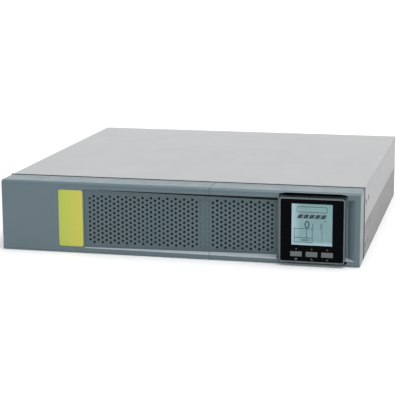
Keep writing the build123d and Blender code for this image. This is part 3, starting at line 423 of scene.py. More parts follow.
@dataclass(frozen=True)
class Inlay(Finish):
    """Satin plastic inlay whose colour turns fresher towards one side."""

    fresh: Colour = (0.50, 0.60, 0.07)
    span: Pair = (0.0, 1.0)

    def paint(self, graph: Graph) -> None:
        """Fill the graph with a sideways colour change and a faint grain.

        Args:
            graph: The material's graph, filled in place.
        """
        share = graph.add(
            "MapRange",
            Value=graph.axis("X"),
            From_Min=self.span[0],
            From_Max=self.span[1],
            To_Min=0.0,
            To_Max=1.0,
        ).outputs["Result"]
        wavy = graph.sums("ADD", share, graph.spread(graph.noise(90.0, 2.0), -0.05, 0.05))
        graph.set_shader(Base_Color=graph.blend(wavy, self.fresh, self.colour))
        graph.set_shader(Roughness=self.roughness, Coat_Weight=0.35, Coat_Roughness=0.2)
        graph.bump(graph.noise(2400.0, 2.0), 0.00002)


# ---------------------------------------------------------------- shapes


class Shape:
    """A mesh under construction, made of closed solids."""

    def __init__(self) -> None:
        """Start with nothing in it."""
        self.mesh = bmesh.new()

    def prism(self, outline: list[Pair], front: float, back: float, shrink: float = 1.0) -> None:
        """Add an outline in X and Z swept along Y.

        Args:
            outline: The corners in order, in metres.
            front: The Y of the face drawn at full size.
            back: The Y of the other face.
            shrink: The size of the other face as a share of the first, about its middle.
        """
        middle_x = sum(x for x, _ in outline) / len(outline)
        middle_z = sum(z for _, z in outline) / len(outline)
        near = [self.mesh.verts.new((x, front, z)) for x, z in outline]
        far = [
            self.mesh.verts.new(
                (middle_x + (x - middle_x) * shrink, back, middle_z + (z - middle_z) * shrink)
            )
            for x, z in outline
        ]
        self.mesh.faces.new(near)
        self.mesh.faces.new(list(reversed(far)))
        for index, corner in enumerate(near):
            after = (index + 1) % len(near)
            self.mesh.faces.new((corner, far[index], far[after], near[after]))

    def ribbon(self, path: list[Pair], width: float, front: float, back: float, closed: bool = False) -> None:
        """Add a flat line of even width that follows a path in X and Z.

        Args:
            path: The middle of the line, in metres.
            width: The line's width.
            front: The Y of its front face.
            back: The Y of its back face.
            closed: Whether the line joins its own start.
        """
        count = len(path)
        points = [Vector(point) for point in path]
        edges: list[list[bmesh.types.BMVert]] = []
        for index, point in enumerate(points):
            before = points[index - 1] if closed or index else point
            after = points[(index + 1) % count] if closed or index + 1 < count else point
            arriving = (point - before).normalized()
            leaving = (after - point).normalized()
            along = (arriving + leaving).normalized()
            side = Vector((-along.y, along.x))
            straight = arriving if arriving.length else leaving
            reach = width / 2 / max(0.5, abs(side.dot(Vector((-straight.y, straight.x)))))
            corners = [point + side * reach, point - side * reach]
            edges.append([self.mesh.verts.new((p.x, y, p.y)) for y in (front, back) for p in corners])
        for index in range(count if closed else count - 1):
            first, second = edges[index], edges[(index + 1) % count]
            for near, far in ((0, 1), (3, 2), (2, 0), (1, 3)):
                self.mesh.faces.new((first[near], first[far], second[far], second[near]))
        if not closed:
            for ends in (edges[0], edges[-1]):
                self.mesh.faces.new((ends[0], ends[1], ends[3], ends[2]))

    def block(self, low: Vector, high: Vector) -> None:
        """Add a box between two corners."""
        outline = [(low[0], low[2]), (high[0], low[2]), (high[0], high[2]), (low[0], high[2])]
        self.prism(outline, low[1], high[1])

    def lathe(
        self, profile: list[Pair], steps: int, centre: Vector, axis: str = "Z", open_end: bool = False
    ) -> list[bmesh.types.BMVert]:
        """Add a profile of radius and height turned about an axis.

        Args:
            profile: Pairs of radius and height from one pole or inner edge to the other.
            steps: The number of sides.
            centre: The foot of the axis.
            axis: "Z" for an upright axis, or "Y" for one that runs to the rear.
            open_end: Whether the last ring is left open for more faces.

        Returns:
            The last ring's vertices.
        """
        rings = []
        for radius, height in profile:
            ring = []
            for step in range(steps if radius > 0 else 1):
                angle = math.tau * step / steps
                across, up = radius * math.cos(angle), radius * math.sin(angle)
                offset = (across, up, height) if axis == "Z" else (across, height, up)
                ring.append(self.mesh.verts.new(Vector(centre) + Vector(offset)))
            rings.append(ring)
        looped = profile[0][0] > 0 and profile[-1][0] > 0 and not open_end
        pairs = list(zip(rings, rings[1:])) + ([(rings[-1], rings[0])] if looped else [])
        for lower, upper in pairs:
            for step in range(steps):
                after = (step + 1) % steps
                corners = [lower[step % len(lower)], lower[after % len(lower)]]
                corners += [upper[after % len(upper)], upper[step % len(upper)]]
                unique = list(dict.fromkeys(corners))
                self.mesh.faces.new(unique)
        return rings[-1]

    def loft(self, sections: list[list[Vector]]) -> None:
        """Add a solid through cross-sections that have as many corners each.

        Args:
            sections: The corners of each cross-section in order, from one end to the other.
        """
        rings = [[self.mesh.verts.new(corner) for corner in section] for section in sections]
        self.mesh.faces.new(rings[0])
        self.mesh.faces.new(list(reversed(rings[-1])))
        for first, second in zip(rings, rings[1:]):
            for index in range(len(first)):
                after = (index + 1) % len(first)
                self.mesh.faces.new((first[index], second[index], second[after], first[after]))

    def hoop(self, outer: list[Pair], inner: list[Pair], centre: Vector, low: float, high: float) -> None:
        """Add an upright wall between two outlines in X and Y that have as many corners.

        Args:
            outer: The outer outline about the centre.
            inner: The inner outline about the centre.
            centre: The middle of both outlines.
            low: The Z of the wall's foot.
            high: The Z of its top.
        """
        loops = []
        for outline, z in ((outer, low), (outer, high), (inner, high), (inner, low)):
            loops.append([self.mesh.verts.new((centre[0] + x, centre[1] + y, z)) for x, y in outline])
        for first, second in zip(loops, loops[1:] + loops[:1]):
            for index in range(len(outer)):
                after = (index + 1) % len(outer)
                self.mesh.faces.new((first[index], first[after], second[after], second[index]))

    def to_object(self, name: str, smooth: bool = False) -> bpy.types.Object:
        """Turn the mesh into an object at the origin with its faces outward.

        Args:
            name: The object's name.
            smooth: Whether faces blend into each other where they meet at a low angle.

        Returns:
            The new object, linked to the scene.
        """
        bmesh.ops.recalc_face_normals(self.mesh, faces=self.mesh.faces[:])
        mesh = bpy.data.meshes.new(name)
        self.mesh.to_mesh(mesh)
        self.mesh.free()
        made = bpy.data.objects.new(name, mesh)
        bpy.context.scene.collection.objects.link(made)
        if smooth:
            mesh.shade_smooth()
            mesh.set_sharp_from_angle(angle=math.radians(35))
        return made


def arc(centre: Pair, radius: float, start: float, end: float, steps: int, squash: float = 1.0) -> list[Pair]:
    """Return points on an arc.

    Args:
        centre: The arc's centre.
        radius: Its radius along the second axis.
        start: The first angle in degrees, from the first axis.
        end: The last angle in degrees.
        steps: The number of points after the first.
        squash: The radius along the first axis as a share of the other.

    Returns:
        The points in order.
    """
    angles = [math.radians(start + (end - start) * step / steps) for step in range(steps + 1)]
    return [(centre[0] + squash * radius * math.cos(a), centre[1] + radius * math.sin(a)) for a in angles]


def rounded(left: float, low: float, right: float, high: float, corner: float) -> list[Pair]:
    """Return a rectangle's outline with rounded corners, in order.

    Args:
        left: The lowest X.
        low: The lowest Z.
        right: The highest X.
        high: The highest Z.
        corner: The radius of the corners.

    Returns:
        The corners in order.
    """
    middles = (
        (right - corner, high - corner, 0),
        (left + corner, high - corner, 90),
        (left + corner, low + corner, 180),
        (right - corner, low + corner, 270),
    )
    return [point for x, z, turn in middles for point in arc((x, z), corner, turn, turn + 90, 5)]


def place(piece: bpy.types.Object, material: bpy.types.Material, body: Body, slot: Slot) -> bpy.types.Object:
    """Give a finished piece its material and body.

    Args:
        piece: The object, at the origin.
        material: Its finish.
        body: The body it moves with.
        slot: Not used.

    Returns:
        The same object.
    """
    piece.data.materials.clear()
    piece.data.materials.append(material)
    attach(piece, body.value)
    log.info("%s: %d faces on %s", piece.name, len(piece.data.polygons), body.value)
    return piece


def dress(material: bpy.types.Material, *names: str) -> None:
    """Give CAD nodes a finish in place of their plain colour.

    Args:
        material: The finish.
        *names: The CAD nodes that take it.
    """
    for name in names:
        slots = frame["nodes"][name].material_slots
        for index in range(len(slots)):
            slots[index].material = material
        log.info("%s dressed in %s", name, material.name)


# ---------------------------------------------------------------- geometry nodes


class Recipe:
    """A geometry node tree with named inputs, run once on a host object."""

    def __init__(self, name: str) -> None:
        """Make an empty tree with one geometry socket on each side.

        Args:
            name: The tree's name.
        """
        self.tree = bpy.data.node_groups.new(name, "GeometryNodeTree")
        self.tree.interface.new_socket("Geometry", in_out="INPUT", socket_type="NodeSocketGeometry")
        self.tree.interface.new_socket("Geometry", in_out="OUTPUT", socket_type="NodeSocketGeometry")
        self.start = self.tree.nodes.new("NodeGroupInput")
        self.end = self.tree.nodes.new("NodeGroupOutput")
        self.values: dict[str, object] = {}

    @property
    def host(self) -> bpy.types.NodeSocket:
        """The host object's own geometry."""
        return self.start.outputs["Geometry"]

    def size(self, name: str, value: object, kind: str = "Float") -> bpy.types.NodeSocket:
        """Add a named input.

        Args:
            name: The input's name.
            value: The value it is run with.
            kind: The socket's type, such as Float, Int, Object or Material.

        Returns:
            The socket that carries the value in the tree.
        """
        item = self.tree.interface.new_socket(name, in_out="INPUT", socket_type="NodeSocket" + kind)
        self.values[item.identifier] = value
        return self.start.outputs[name]

    def add(self, kind: str, **inputs: object) -> bpy.types.Node:
        """Add a node and fill its inputs.

        Args:
            kind: The node's full type name.
            **inputs: Input names with underscores for spaces, each a value or a socket.

        Returns:
            The new node.
        """
        node = self.tree.nodes.new(kind)
        for name, value in inputs.items():
            self.feed(node.inputs[name.replace("_", " ")], value)
        return node

    def feed(self, socket: bpy.types.NodeSocket, value: object) -> None:
        """Join an output socket to an input, or set the input's own value.

        Args:
            socket: The input.
            value: An output socket, or a plain value.
        """
        if isinstance(value, bpy.types.NodeSocket):
            self.tree.links.new(value, socket)
        else:
            socket.default_value = value

    def math(self, operation: str, first: object, second: object = 0.0) -> bpy.types.NodeSocket:
        """Return the result of one arithmetic operation on two values.

        Args:
            operation: The Math node's operation.
            first: The first value or socket.
            second: The second value or socket.

        Returns:
            The socket that carries the result.
        """
        node = self.tree.nodes.new("ShaderNodeMath")
        node.operation = operation
        self.feed(node.inputs[0], first)
        self.feed(node.inputs[1], second)
        return node.outputs[0]

    def vector(self, x: object = 0.0, y: object = 0.0, z: object = 0.0) -> bpy.types.NodeSocket:
        """Return three values joined into a vector."""
        return self.add("ShaderNodeCombineXYZ", X=x, Y=y, Z=z).outputs[0]

    def join(self, *parts: bpy.types.NodeSocket) -> bpy.types.NodeSocket:
        """Return several geometries as one.

        Args:
            *parts: The geometries.

        Returns:
            The socket that carries them all.
        """
        node = self.tree.nodes.new("GeometryNodeJoinGeometry")
        for part in parts:
            self.tree.links.new(part, node.inputs["Geometry"])
        return node.outputs["Geometry"]

    def vary(self, low: Colour, high: Colour, seed: object) -> bpy.types.NodeSocket:
        """Return a random vector between two corners for each point.

        Args:
            low: The lowest corner.
            high: The highest corner.
            seed: The fixed seed, or a socket that carries it.

        Returns:
            The socket that carries the vector.
        """
        node = self.tree.nodes.new("FunctionNodeRandomValue")
        node.data_type = "FLOAT_VECTOR"
        self.feed(node.inputs["Min"], low)
        self.feed(node.inputs["Max"], high)
        self.feed(node.inputs["Seed"], seed)
        return node.outputs["Value"]

    def run(
        self,
        geometry: bpy.types.NodeSocket,
        points: list[Vector],
        name: str,
        material: bpy.types.Material,
        smooth: bool = False,
    ) -> bpy.types.Object:
        """Finish the tree, run it on a set of points and keep the plain mesh.

        Args:
            geometry: What the tree has made.
            points: The host's vertices.
            name: The finished piece's name.
            material: The material that the tree sets.
            smooth: Whether faces blend where they meet at a low angle.

        Returns:
            The finished piece, with no modifier left on it.
        """
        cover = self.size("Material", material, "Material")
        whole = self.add("GeometryNodeRealizeInstances", Geometry=geometry).outputs["Geometry"]
        dressed = self.add("GeometryNodeSetMaterial", Geometry=whole, Material=cover)
        self.feed(self.end.inputs["Geometry"], dressed.outputs["Geometry"])
        host_mesh = bpy.data.meshes.new(name + "_points")
        host_mesh.from_pydata([tuple(point) for point in points], [], [])
        host = bpy.data.objects.new(name + "_host", host_mesh)
        bpy.context.scene.collection.objects.link(host)
        modifier = host.modifiers.new(name, "NODES")
        modifier.node_group = self.tree
        for identifier, value in self.values.items():
            modifier[identifier] = value
        shown = host.evaluated_get(bpy.context.evaluated_depsgraph_get())
        mesh = bpy.data.meshes.new_from_object(shown)
        mesh.name = name
        host.modifiers.remove(modifier)
        bpy.data.objects.remove(host)
        made = bpy.data.objects.new(name, mesh)
        bpy.context.scene.collection.objects.link(made)
        if smooth:
            mesh.shade_smooth()
            mesh.set_sharp_from_angle(angle=math.radians(40))
        return made


def sow(
    name: str,
    template: bpy.types.Object,
    points: list[Vector],
    material: bpy.types.Material,
    turn: Colour = (0.0, 0.0, 0.0),
    grow: Pair = (1.0, 1.0),
    seed: int = 1,
) -> bpy.types.Object:
    """Repeat a small shape at many points, each a little different.

    Args:
        name: The finished piece's name.
        template: The shape to repeat, which is used up.
        points: Where its own origin goes.
        material: The finish of every copy.
        turn: The most that a copy is turned about each axis, in radians.
        grow: The smallest and largest scale of a copy.
        seed: The fixed seed of the small differences.

    Returns:
        One piece holding every copy.
    """
    recipe = Recipe(name + "_rule")
    seed_in = recipe.size("Seed", seed, "Int")
    shape = recipe.size("Shape", template, "Object")
    small = recipe.size("Smallest", grow[0])
    large = recipe.size("Largest", grow[1])
    source = recipe.add("GeometryNodeObjectInfo", Object=shape)
    angle = recipe.vary((0.0, 0.0, 0.0), turn, seed_in)
    fraction = recipe.tree.nodes.new("FunctionNodeRandomValue")
    fraction.data_type = "FLOAT"
    recipe.feed(fraction.inputs[2], small)
    recipe.feed(fraction.inputs[3], large)
    recipe.feed(fraction.inputs["Seed"], seed_in)
    copies = recipe.add(
        "GeometryNodeInstanceOnPoints",
        Points=recipe.host,
        Instance=source.outputs["Geometry"],
        Rotation=angle,
        Scale=fraction.outputs[1],
    )
    made = recipe.run(copies.outputs["Instances"], points, name, material, smooth=True)
    bpy.data.objects.remove(template)
    return made


# ---------------------------------------------------------------- finishes used


# Painted shadow: the cover's front edge is painted near black as the gap's shade.
PAINT = PowderCoat("grey_powder_coat", (0.46, 0.464, 0.466), 0.54, shade_edge_y=-0.17905)
# Painted shade: a darker copy of the case paint for the tray, rear panel and slot cover, in place of the shade on
# the lower sides.
SHADED_TRAY_PAINT = PowderCoat("grey_powder_coat_painted_shade", (0.22, 0.217, 0.212), 0.48)
# Painted shade: the front wall and battery tray are painted near black so the view through the grille holes stays
# dark.
INNER_SHADE_COAT = PowderCoat("charcoal_inner_painted_shade", (0.035, 0.037, 0.040), 0.6)
INNER_SHEET = BareMetal("zinc_coated_sheet", (0.60, 0.62, 0.64), 0.38, Metal.SPANGLED)
BEZEL = Moulding("slate_grained_plastic", (0.130, 0.190, 0.215), 0.34)
GRILLE = Moulding("slate_grille_plastic", (0.100, 0.150, 0.168), 0.45)
STRIP = Inlay("lime_inlay", (0.68, 0.63, 0.075), 0.38, span=(-0.1465, -0.116))
BLACK = Moulding("black_housing_plastic", (0.018, 0.019, 0.021), 0.38)
TRIM = Moulding("slate_grey_trim_plastic", (0.13, 0.16, 0.18), 0.3)
WINDOW = Gloss("piano_black_window", (0.0016, 0.0020, 0.0028), 0.08, coat=0.015, shine=0.02)
SCREEN = LiquidCrystal("teal_liquid_crystal", (0.155, 0.290, 0.300), 0.25, centre=(0.1647, 0.050))
INK = Moulding("dark_screen_segments", (0.020, 0.045, 0.055), 0.30)
MARKING = Moulding("pale_grey_print", (0.32, 0.35, 0.35), 0.5)
# Painted shade: black foam for the filters behind the grilles and for the dark strips under the recess's top
# edge.
SHADE_FOAM = Moulding("open_cell_foam_painted_shade", (0.006, 0.007, 0.008), 0.9, grain_scale=800.0, grain_depth=0.0004)
# Painted light: a paler skin on the recess's end ramp, in place of the shade it falls in.
PAINTED_LIGHT_FACING = Moulding("pale_ramp_painted_light", (0.215, 0.30, 0.335), 0.42)
# Painted highlight: a pale skin over the recess's lower ledge stands in for the light caught there.
PAINTED_HIGHLIGHT = Moulding("pale_ledge_edging", (0.50, 0.56, 0.60), 0.36)
RUBBER = Moulding("grey_silicone_key", (0.145, 0.165, 0.160), 0.55, grain_scale=3400.0)
LENS = Gloss("smoked_lens", (0.05, 0.07, 0.06), 0.12)
BOARD = Laminate("green_circuit_laminate", (0.018, 0.13, 0.055), 0.38)
BATTERY = Moulding("dark_battery_case", (0.035, 0.038, 0.045), 0.42)
BRASS = BareMetal("tinned_brass", (0.72, 0.60, 0.34), 0.28)
SCREWS = BareMetal("zinc_plated_screw", (0.62, 0.63, 0.64), 0.26)
OXIDE = BareMetal("black_oxide_steel", (0.10, 0.10, 0.105), 0.42)
ALUMINIUM = BareMetal("drawn_aluminium", (0.68, 0.69, 0.71), 0.34, Metal.DRAWN)
COMPONENT = Moulding("moulded_component_body", (0.022, 0.022, 0.024), 0.42)
FERRITE = Moulding("laminated_core_steel", (0.10, 0.10, 0.105), 0.5, grain_scale=1200.0)
ENAMEL = BareMetal("enamelled_copper_wire", (0.62, 0.26, 0.09), 0.24)
PORT = BareMetal("nickel_port_shell", (0.66, 0.66, 0.64), 0.30)
SLEEVE = Gloss("capacitor_sleeve", (0.012, 0.020, 0.060), 0.25, coat=0.4)
CERAMIC = Moulding("tan_resistor_body", (0.50, 0.38, 0.22), 0.45)


# ---------------------------------------------------------------- studio


@dataclass
class Studio:
    """The camera, the lights and the pale floor."""

    aim: Colour = (0.0301, -0.21785, 0.0722)
    distance: float = 1.5645
    azimuth: float = 13.4
    elevation: float = 11.69
    roll: float = -0.28
    lens: float = 119.2
    floor_size: float = 40.0
    floor_glow: float = 0.12
    backdrop_radius: float = 18.0
    backdrop_height: float = 9.0
    sky_from: Colour = (0.22, -0.14, 0.96)
    sky_spread: float = 55.0
    sky_power: float = 2.5
    air_strength: float = 0.28
    sheen_spot: Colour = (-0.3, 2.6, 1.2)
    sheen_size: float = 3.0
    sheen_power: float = 23.0

    def build(self) -> None:
        """Make the camera, the lights and the floor."""
        self.set_camera()
        self.set_world()
        self.lay_floor()
        self.raise_backdrop()
        self.shine(self.sky_from, self.sky_spread, self.sky_power)
        self.hang("rear_sheen", self.sheen_spot, self.sheen_size, self.sheen_power)

    def set_camera(self) -> None:
        """Aim the camera at the front panel."""
        azimuth, elevation = math.radians(self.azimuth), math.radians(self.elevation)
        level = math.cos(elevation)
        away = Vector((math.sin(azimuth) * level, -math.cos(azimuth) * level, math.sin(elevation)))
        camera = bpy.data.objects.new("camera", bpy.data.cameras.new("camera"))
        camera.data.lens = self.lens
        camera.data.sensor_width = 36.0
        camera.data.clip_end = 100.0
        turn = (-away).to_track_quat("-Z", "Y").to_matrix().to_4x4()
        camera.matrix_world = (
            Matrix.Translation(Vector(self.aim) + away * self.distance)
            @ turn
            @ Matrix.Rotation(math.radians(self.roll), 4, "Z")
        )
        bpy.context.scene.collection.objects.link(camera)
        bpy.context.scene.camera = camera

    def set_world(self) -> None:
        """Surround the set with even, slightly cool white light."""
        world = bpy.data.worlds.new("studio_air")
        world.use_nodes = True
        background = world.node_tree.nodes["Background"]
        background.inputs["Color"].default_value = (0.96, 0.98, 1.0, 1.0)
        background.inputs["Strength"].default_value = self.air_strength
        bpy.context.scene.world = world
        bpy.context.scene.view_settings.view_transform = "Standard"

    def lay_floor(self) -> None:
        """Lay a wide matt floor under the case."""
        floor = Shape()
        half = self.floor_size / 2
        floor.block((-half, -half, -0.02), (half, half, -0.0002))
        made = floor.to_object("studio_floor")
        graph = Graph("matt_white_floor")
        tone = graph.spread(graph.noise(0.8, 2.0), 0.0, 1.0)
        white = graph.blend(tone, (0.90, 0.90, 0.90), (0.93, 0.93, 0.93))
        graph.set_shader(
            Base_Color=white,
            Roughness=0.9,
            Emission_Color=white,
            Emission_Strength=self.floor_glow,
        )
        made.data.materials.append(graph.material)

    def raise_backdrop(self) -> None:
        """Stand a pale wall far round the floor, which the camera sees but the lights do not."""
        ring = Shape()
        inner, outer, top = self.backdrop_radius, self.backdrop_radius + 0.1, self.backdrop_height
        ring.lathe([(inner, -0.01), (inner, top), (outer, top), (outer, -0.01)], 48, Vector((0.0, 0.0, 0.0)))
        made = ring.to_object("studio_backdrop")
        graph = Graph("pale_backdrop")
        tone = graph.spread(graph.noise(0.3, 2.0), 0.0, 1.0)
        white = graph.blend(tone, (0.98, 0.98, 0.98), (1.0, 1.0, 1.0))
        graph.set_shader(Base_Color=white, Roughness=0.9, Emission_Color=white, Emission_Strength=1.0)
        made.data.materials.append(graph.material)
        made.visible_diffuse = made.visible_glossy = made.visible_transmission = made.visible_shadow = False

    def shine(self, source: Colour, spread: float, power: float) -> None:
        """Light the whole set evenly from one broad direction.

        Args:
            source: The direction that the light comes from.
            spread: The width of the source, in degrees.
            power: Its strength.
        """
        data = bpy.data.lights.new("sky_panel", "SUN")
        data.energy = power
        data.angle = math.radians(spread)
        light = bpy.data.objects.new("sky_panel", data)
        light.matrix_world = (-Vector(source)).to_track_quat("-Z", "Y").to_matrix().to_4x4()
        bpy.context.scene.collection.objects.link(light)

    def hang(self, name: str, spot: Colour, size: float, power: float) -> None:
        """Hang a square soft light that faces the case.

        Args:
            name: The light's name.
            spot: Where it hangs, in metres.
            size: The length of its side.
            power: Its output in watts.
        """
        data = bpy.data.lights.new(name, "AREA")
        data.shape = "SQUARE"
        data.size = size
        data.energy = power
        light = bpy.data.objects.new(name, data)
        facing = Vector((0.0, 0.0, 0.05)) - Vector(spot)
        light.matrix_world = Matrix.Translation(spot) @ facing.to_track_quat("-Z", "Y").to_matrix().to_4x4()
        bpy.context.scene.collection.objects.link(light)


# ---------------------------------------------------------------- sub-assemblies


@dataclass
class Enclosure:
    """The folded steel case, its inner walls, the front mouldings and their filters, with painted shadows and
    painted light laid along the front.
    """

    grille_thickness: float = 0.0022
    ledge_low: float = 0.007
    ledge_slope: float = 0.28
    recess_top: float = 0.079
    painted_highlight_skin: float = 0.00022
    painted_highlight_skin_drop: Pair = (0.0004, 0.0016)
    shadow_strip_height: Pair = (0.0002, 0.0044)
    shadow_strip_start: float = -0.095
    ramp: tuple[Pair, ...] = ((0.1995, 0.007), (0.205, 0.007), (0.2138, 0.00016))
    facing: float = 0.00012
    foot_thickness: float = 0.0002
    foot_height: float = 0.0028
    filter_thickness: float = 0.002
    filter_gap: float = 0.0002
    filter_inset: float = 0.001
    filter_margin: float = 0.0006
    shadow_lip_width: float = 0.0013
    shadow_lip_depth: float = 0.00036
    shadow_lip_foot: float = 0.0012
    strip_thickness: float = 0.0003
    top_clearance: float = 0.0001
    hair: float = 0.00003

    @cached_property
    def boxes(self) -> dict[str, tuple[Vector, Vector]]:
        """Return the low and high corners of the pieces that the trims follow."""
        names = ("top_cover", "left_bezel", "right_bezel", "left_grille", "right_grille")
        return {name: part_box(name) for name in names}

    def build(self) -> None:
        """Dress the case and add what lies along the front's edges."""
        dress(PAINT.make(), "top_cover")
        # Painted shade: the tray, rear panel and slot cover take the darker copy of the case paint.
        dress(SHADED_TRAY_PAINT.make(), "chassis_tray", "rear_panel", "slot_cover")
        dress(INNER_SHEET.make(), "bay_wall", "battery_straps")
        # Painted shade: near-black paint on the front wall and battery tray darkens the view through the holes.
        dress(INNER_SHADE_COAT.make(), "front_wall", "battery_tray")
        dress(BEZEL.make(), "left_bezel", "right_bezel")
        # Painted shade: the grille finish turns the holes' walls near black.
        dress(self.perforated().make(), "left_grille", "right_grille")
        dress(STRIP.make(), "accent_strip")
        place(self.make_foot(), GRILLE.make(), Body.CASE, Slot.BEZEL)
        # Painted shadow: the dark lip at the joint stands in for the shadow gap between bezel and case.
        place(self.make_joint_shadow_lip(), BLACK.make(), Body.CASE, Slot.BLACK)
        foam, pale = SHADE_FOAM.make(), PAINTED_HIGHLIGHT.make()
        for side, body in (("left", Body.COVER), ("right", Body.CASE)):
            span = self.span(side)
            # A dust filter behind each grille, black so that the holes show painted shade.
            place(self.make_filter(side, span), foam, body, Slot.BLACK)
            # Painted highlight: a pale skin along each side's lower ledge.
            backs = [(x, self.face(x), self.share(x, self.painted_highlight_skin_drop)) for x in self.ledge(side)]
            place(self.make_painted_highlight_skin(side + "_ledge_edging", backs), pale, body, Slot.TRIM)
            # Painted shadow: a dark wedge under the recess's top edge in place of the overhang's shadow.
            place(self.make_recess_shadow_strip(side, span), foam, body, Slot.BLACK)
        front = self.boxes["left_bezel"][0][1]
        # Painted light: a paler skin over the recess's end ramp.
        place(self.make_painted_light_facing(), PAINTED_LIGHT_FACING.make(), Body.CASE, Slot.BEZEL)
        # Painted highlight: the pale skin carries on along the ramp's foot.
        backs = [(x, front + depth - self.facing, self.top_clearance) for x, depth in self.ramp]
        place(self.make_painted_highlight_skin("end_ledge_edging", backs), pale, Body.CASE, Slot.TRIM)

    def span(self, side: str) -> Pair:
        """Return the X of both ends of one side's grille."""
        low, high = self.boxes[side + "_grille"]
        return (low[0], high[0])

    def ledge(self, side: str) -> Pair:
        """Return the X of both ends of one side's ledge, which stops short of the mouldings' seam.

        Args:
            side: "left" or "right".

        Returns:
            The lowest and highest X.
        """
        if side == "left":
            return (self.span(side)[0], self.boxes["left_bezel"][1][0] - self.hair)
        return (self.boxes["right_bezel"][0][0] + self.hair, self.span(side)[1])

    def face(self, x: float) -> float:
        """Return the Y of the slanting grille's face at X.

        Args:
            x: The X in metres.

        Returns:
            The Y of the face there.
        """
        left, right = self.boxes["left_grille"][0], self.boxes["right_grille"][1]
        share = (x - left[0]) / (right[0] - left[0])
        return left[1] + share * (right[1] - self.grille_thickness - left[1])

    def share(self, x: float, pair: Pair) -> float:
        """Return the value between a pair that X gives along both grilles."""
        left, right = self.span("left")[0], self.span("right")[1]
        return pair[0] + (pair[1] - pair[0]) * max(0.0, (x - left) / (right - left))

    def perforated(self) -> Perforated:
        """Return the grilles' finish, set to the slant of their faces.

        Returns:
            A finish with painted shade below the skin of both grilles.
        """
        left, right = self.span("left")[0], self.span("right")[1]
        slope = (self.face(right) - self.face(left)) / (right - left)
        foot = self.face(left) - slope * left
        return Perforated("slate_perforated_plastic", GRILLE.colour, GRILLE.roughness, foot=foot, slope=slope)

    def rise(self, y: float) -> float:
        """Return the height of the sloping ledge at Y."""
        return self.ledge_low + self.ledge_slope * (y - self.boxes["left_bezel"][0][1])

    def slab(self, name: str, slices: list[tuple[float, float, float, float, float]]) -> bpy.types.Object:
        """Make a thin upright plate that may slant and taper along X.

        Args:
            name: The object's name.
            slices: The X, nearest Y, furthest Y, lowest Z and highest Z of each cross-section.

        Returns:
            The plate.
        """
        plate = Shape()
        plate.loft(
            [
                [Vector((x, y, z)) for y, z in ((near, low), (near, high), (far, high), (far, low))]
                for x, near, far, low, high in slices
            ]
        )
        return plate.to_object(name)

    def make_foot(self) -> bpy.types.Object:
        """Make the small plate that fills the right grille's foot beside its seam.

        Returns:
            A thin plate just above the left ledge's painted highlight skin.
        """
        slices = []
        for x in (self.span("right")[0], self.boxes["right_bezel"][0][0]):
            near, far = self.face(x) - self.foot_thickness, self.face(x) - self.hair
            rise = self.rise(far)
            slices.append((x, near, far, rise + self.painted_highlight_skin + 2.0 * self.hair, rise + self.foot_height))
        return self.slab("grille_seam_foot", slices)

    def make_joint_shadow_lip(self) -> bpy.types.Object:
        """Make the dark lip at the joint between the bezel and the case, a painted shadow of the gap there.

        Returns:
            A narrow arch round the joint.
        """
        joint = self.boxes["top_cover"][0][1]
        half, top = self.boxes["top_cover"][1][0], self.boxes["top_cover"][1][2]
        lip = Shape()
        path = [(-half, self.shadow_lip_foot), (-half, top), (half, top), (half, self.shadow_lip_foot)]
        lip.ribbon(path, self.shadow_lip_width, joint - self.shadow_lip_depth, joint - self.hair)
        return lip.to_object("bezel_seal")

    def make_filter(self, side: str, span: Pair) -> bpy.types.Object:
        """Make the black foam filter behind one grille, which also gives the painted shade seen through the
        holes.

        Args:
            side: "left" or "right".
            span: The X of the grille's ends.

        Returns:
            A slanting sheet just behind the grille.
        """
        slices = []
        for x in (span[0] + self.filter_inset, span[1] - self.filter_inset):
            near = self.face(x) + self.grille_thickness + self.filter_gap
            far = near + self.filter_thickness
            low, high = self.rise(far) + self.filter_margin, self.recess_top - self.filter_margin
            slices.append((x, near, far, low, high))
        return self.slab(side + "_dust_filter", slices)

    def make_painted_highlight_skin(self, name: str, backs: list[tuple[float, float, float]]) -> bpy.types.Object:
        """Make the pale skin that wraps the recess's lower ledge, a painted highlight.

        Args:
            name: The object's name.
            backs: The X of each end, the Y where the ledge stops, and how far the face is lapped.

        Returns:
            A thin skin over the ledge and the top of the face below it.
        """
        front = self.boxes["left_bezel"][0][1]
        skin = Shape()
        sections = []
        for x, stop, drop in backs:
            back, low = stop - self.hair, self.ledge_low - drop
            rise, outer = self.rise(back), front - self.painted_highlight_skin
            corners = [(back, rise + self.painted_highlight_skin), (outer, self.ledge_low + self.painted_highlight_skin), (outer, low)]
            corners += [(front - self.hair, low), (front - self.hair, self.ledge_low + self.hair)]
            corners += [(back, rise + self.hair)]
            sections.append([Vector((x, y, z)) for y, z in corners])
        skin.loft(sections)
        return skin.to_object(name)

    def make_painted_light_facing(self) -> bpy.types.Object:
        """Make the paler facing on the ramp that ends the recess beside the display, painted light in place of
        the shade there.

        Returns:
            A thin skin that follows the recess's floor and its ramp.
        """
        top = self.recess_top - self.top_clearance
        slices = []
        for x, depth in self.ramp:
            floor = self.boxes["left_bezel"][0][1] + depth
            low = self.rise(floor) + 2.0 * self.hair
            slices.append((x, floor - self.facing, floor - self.hair, low, top))
        return self.slab("recess_end_facing", slices)

    def make_recess_shadow_strip(self, side: str, span: Pair) -> bpy.types.Object:
        """Make the dark wedge under the recess's top edge, a painted shadow of its overhang.

        Args:
            side: "left" or "right".
            span: The X of the grille's ends.

        Returns:
            A strip on the grille's face that deepens towards the display.
        """
        top = self.recess_top - self.top_clearance
        slices = []
        for x in (max(span[0], self.shadow_strip_start), span[1]):
            face = self.face(x)
            low = top - self.share(x, self.shadow_strip_height)
            slices.append((x, face - self.strip_thickness, face - self.hair, low, top))
        return self.slab(side + "_recess_strip", slices)


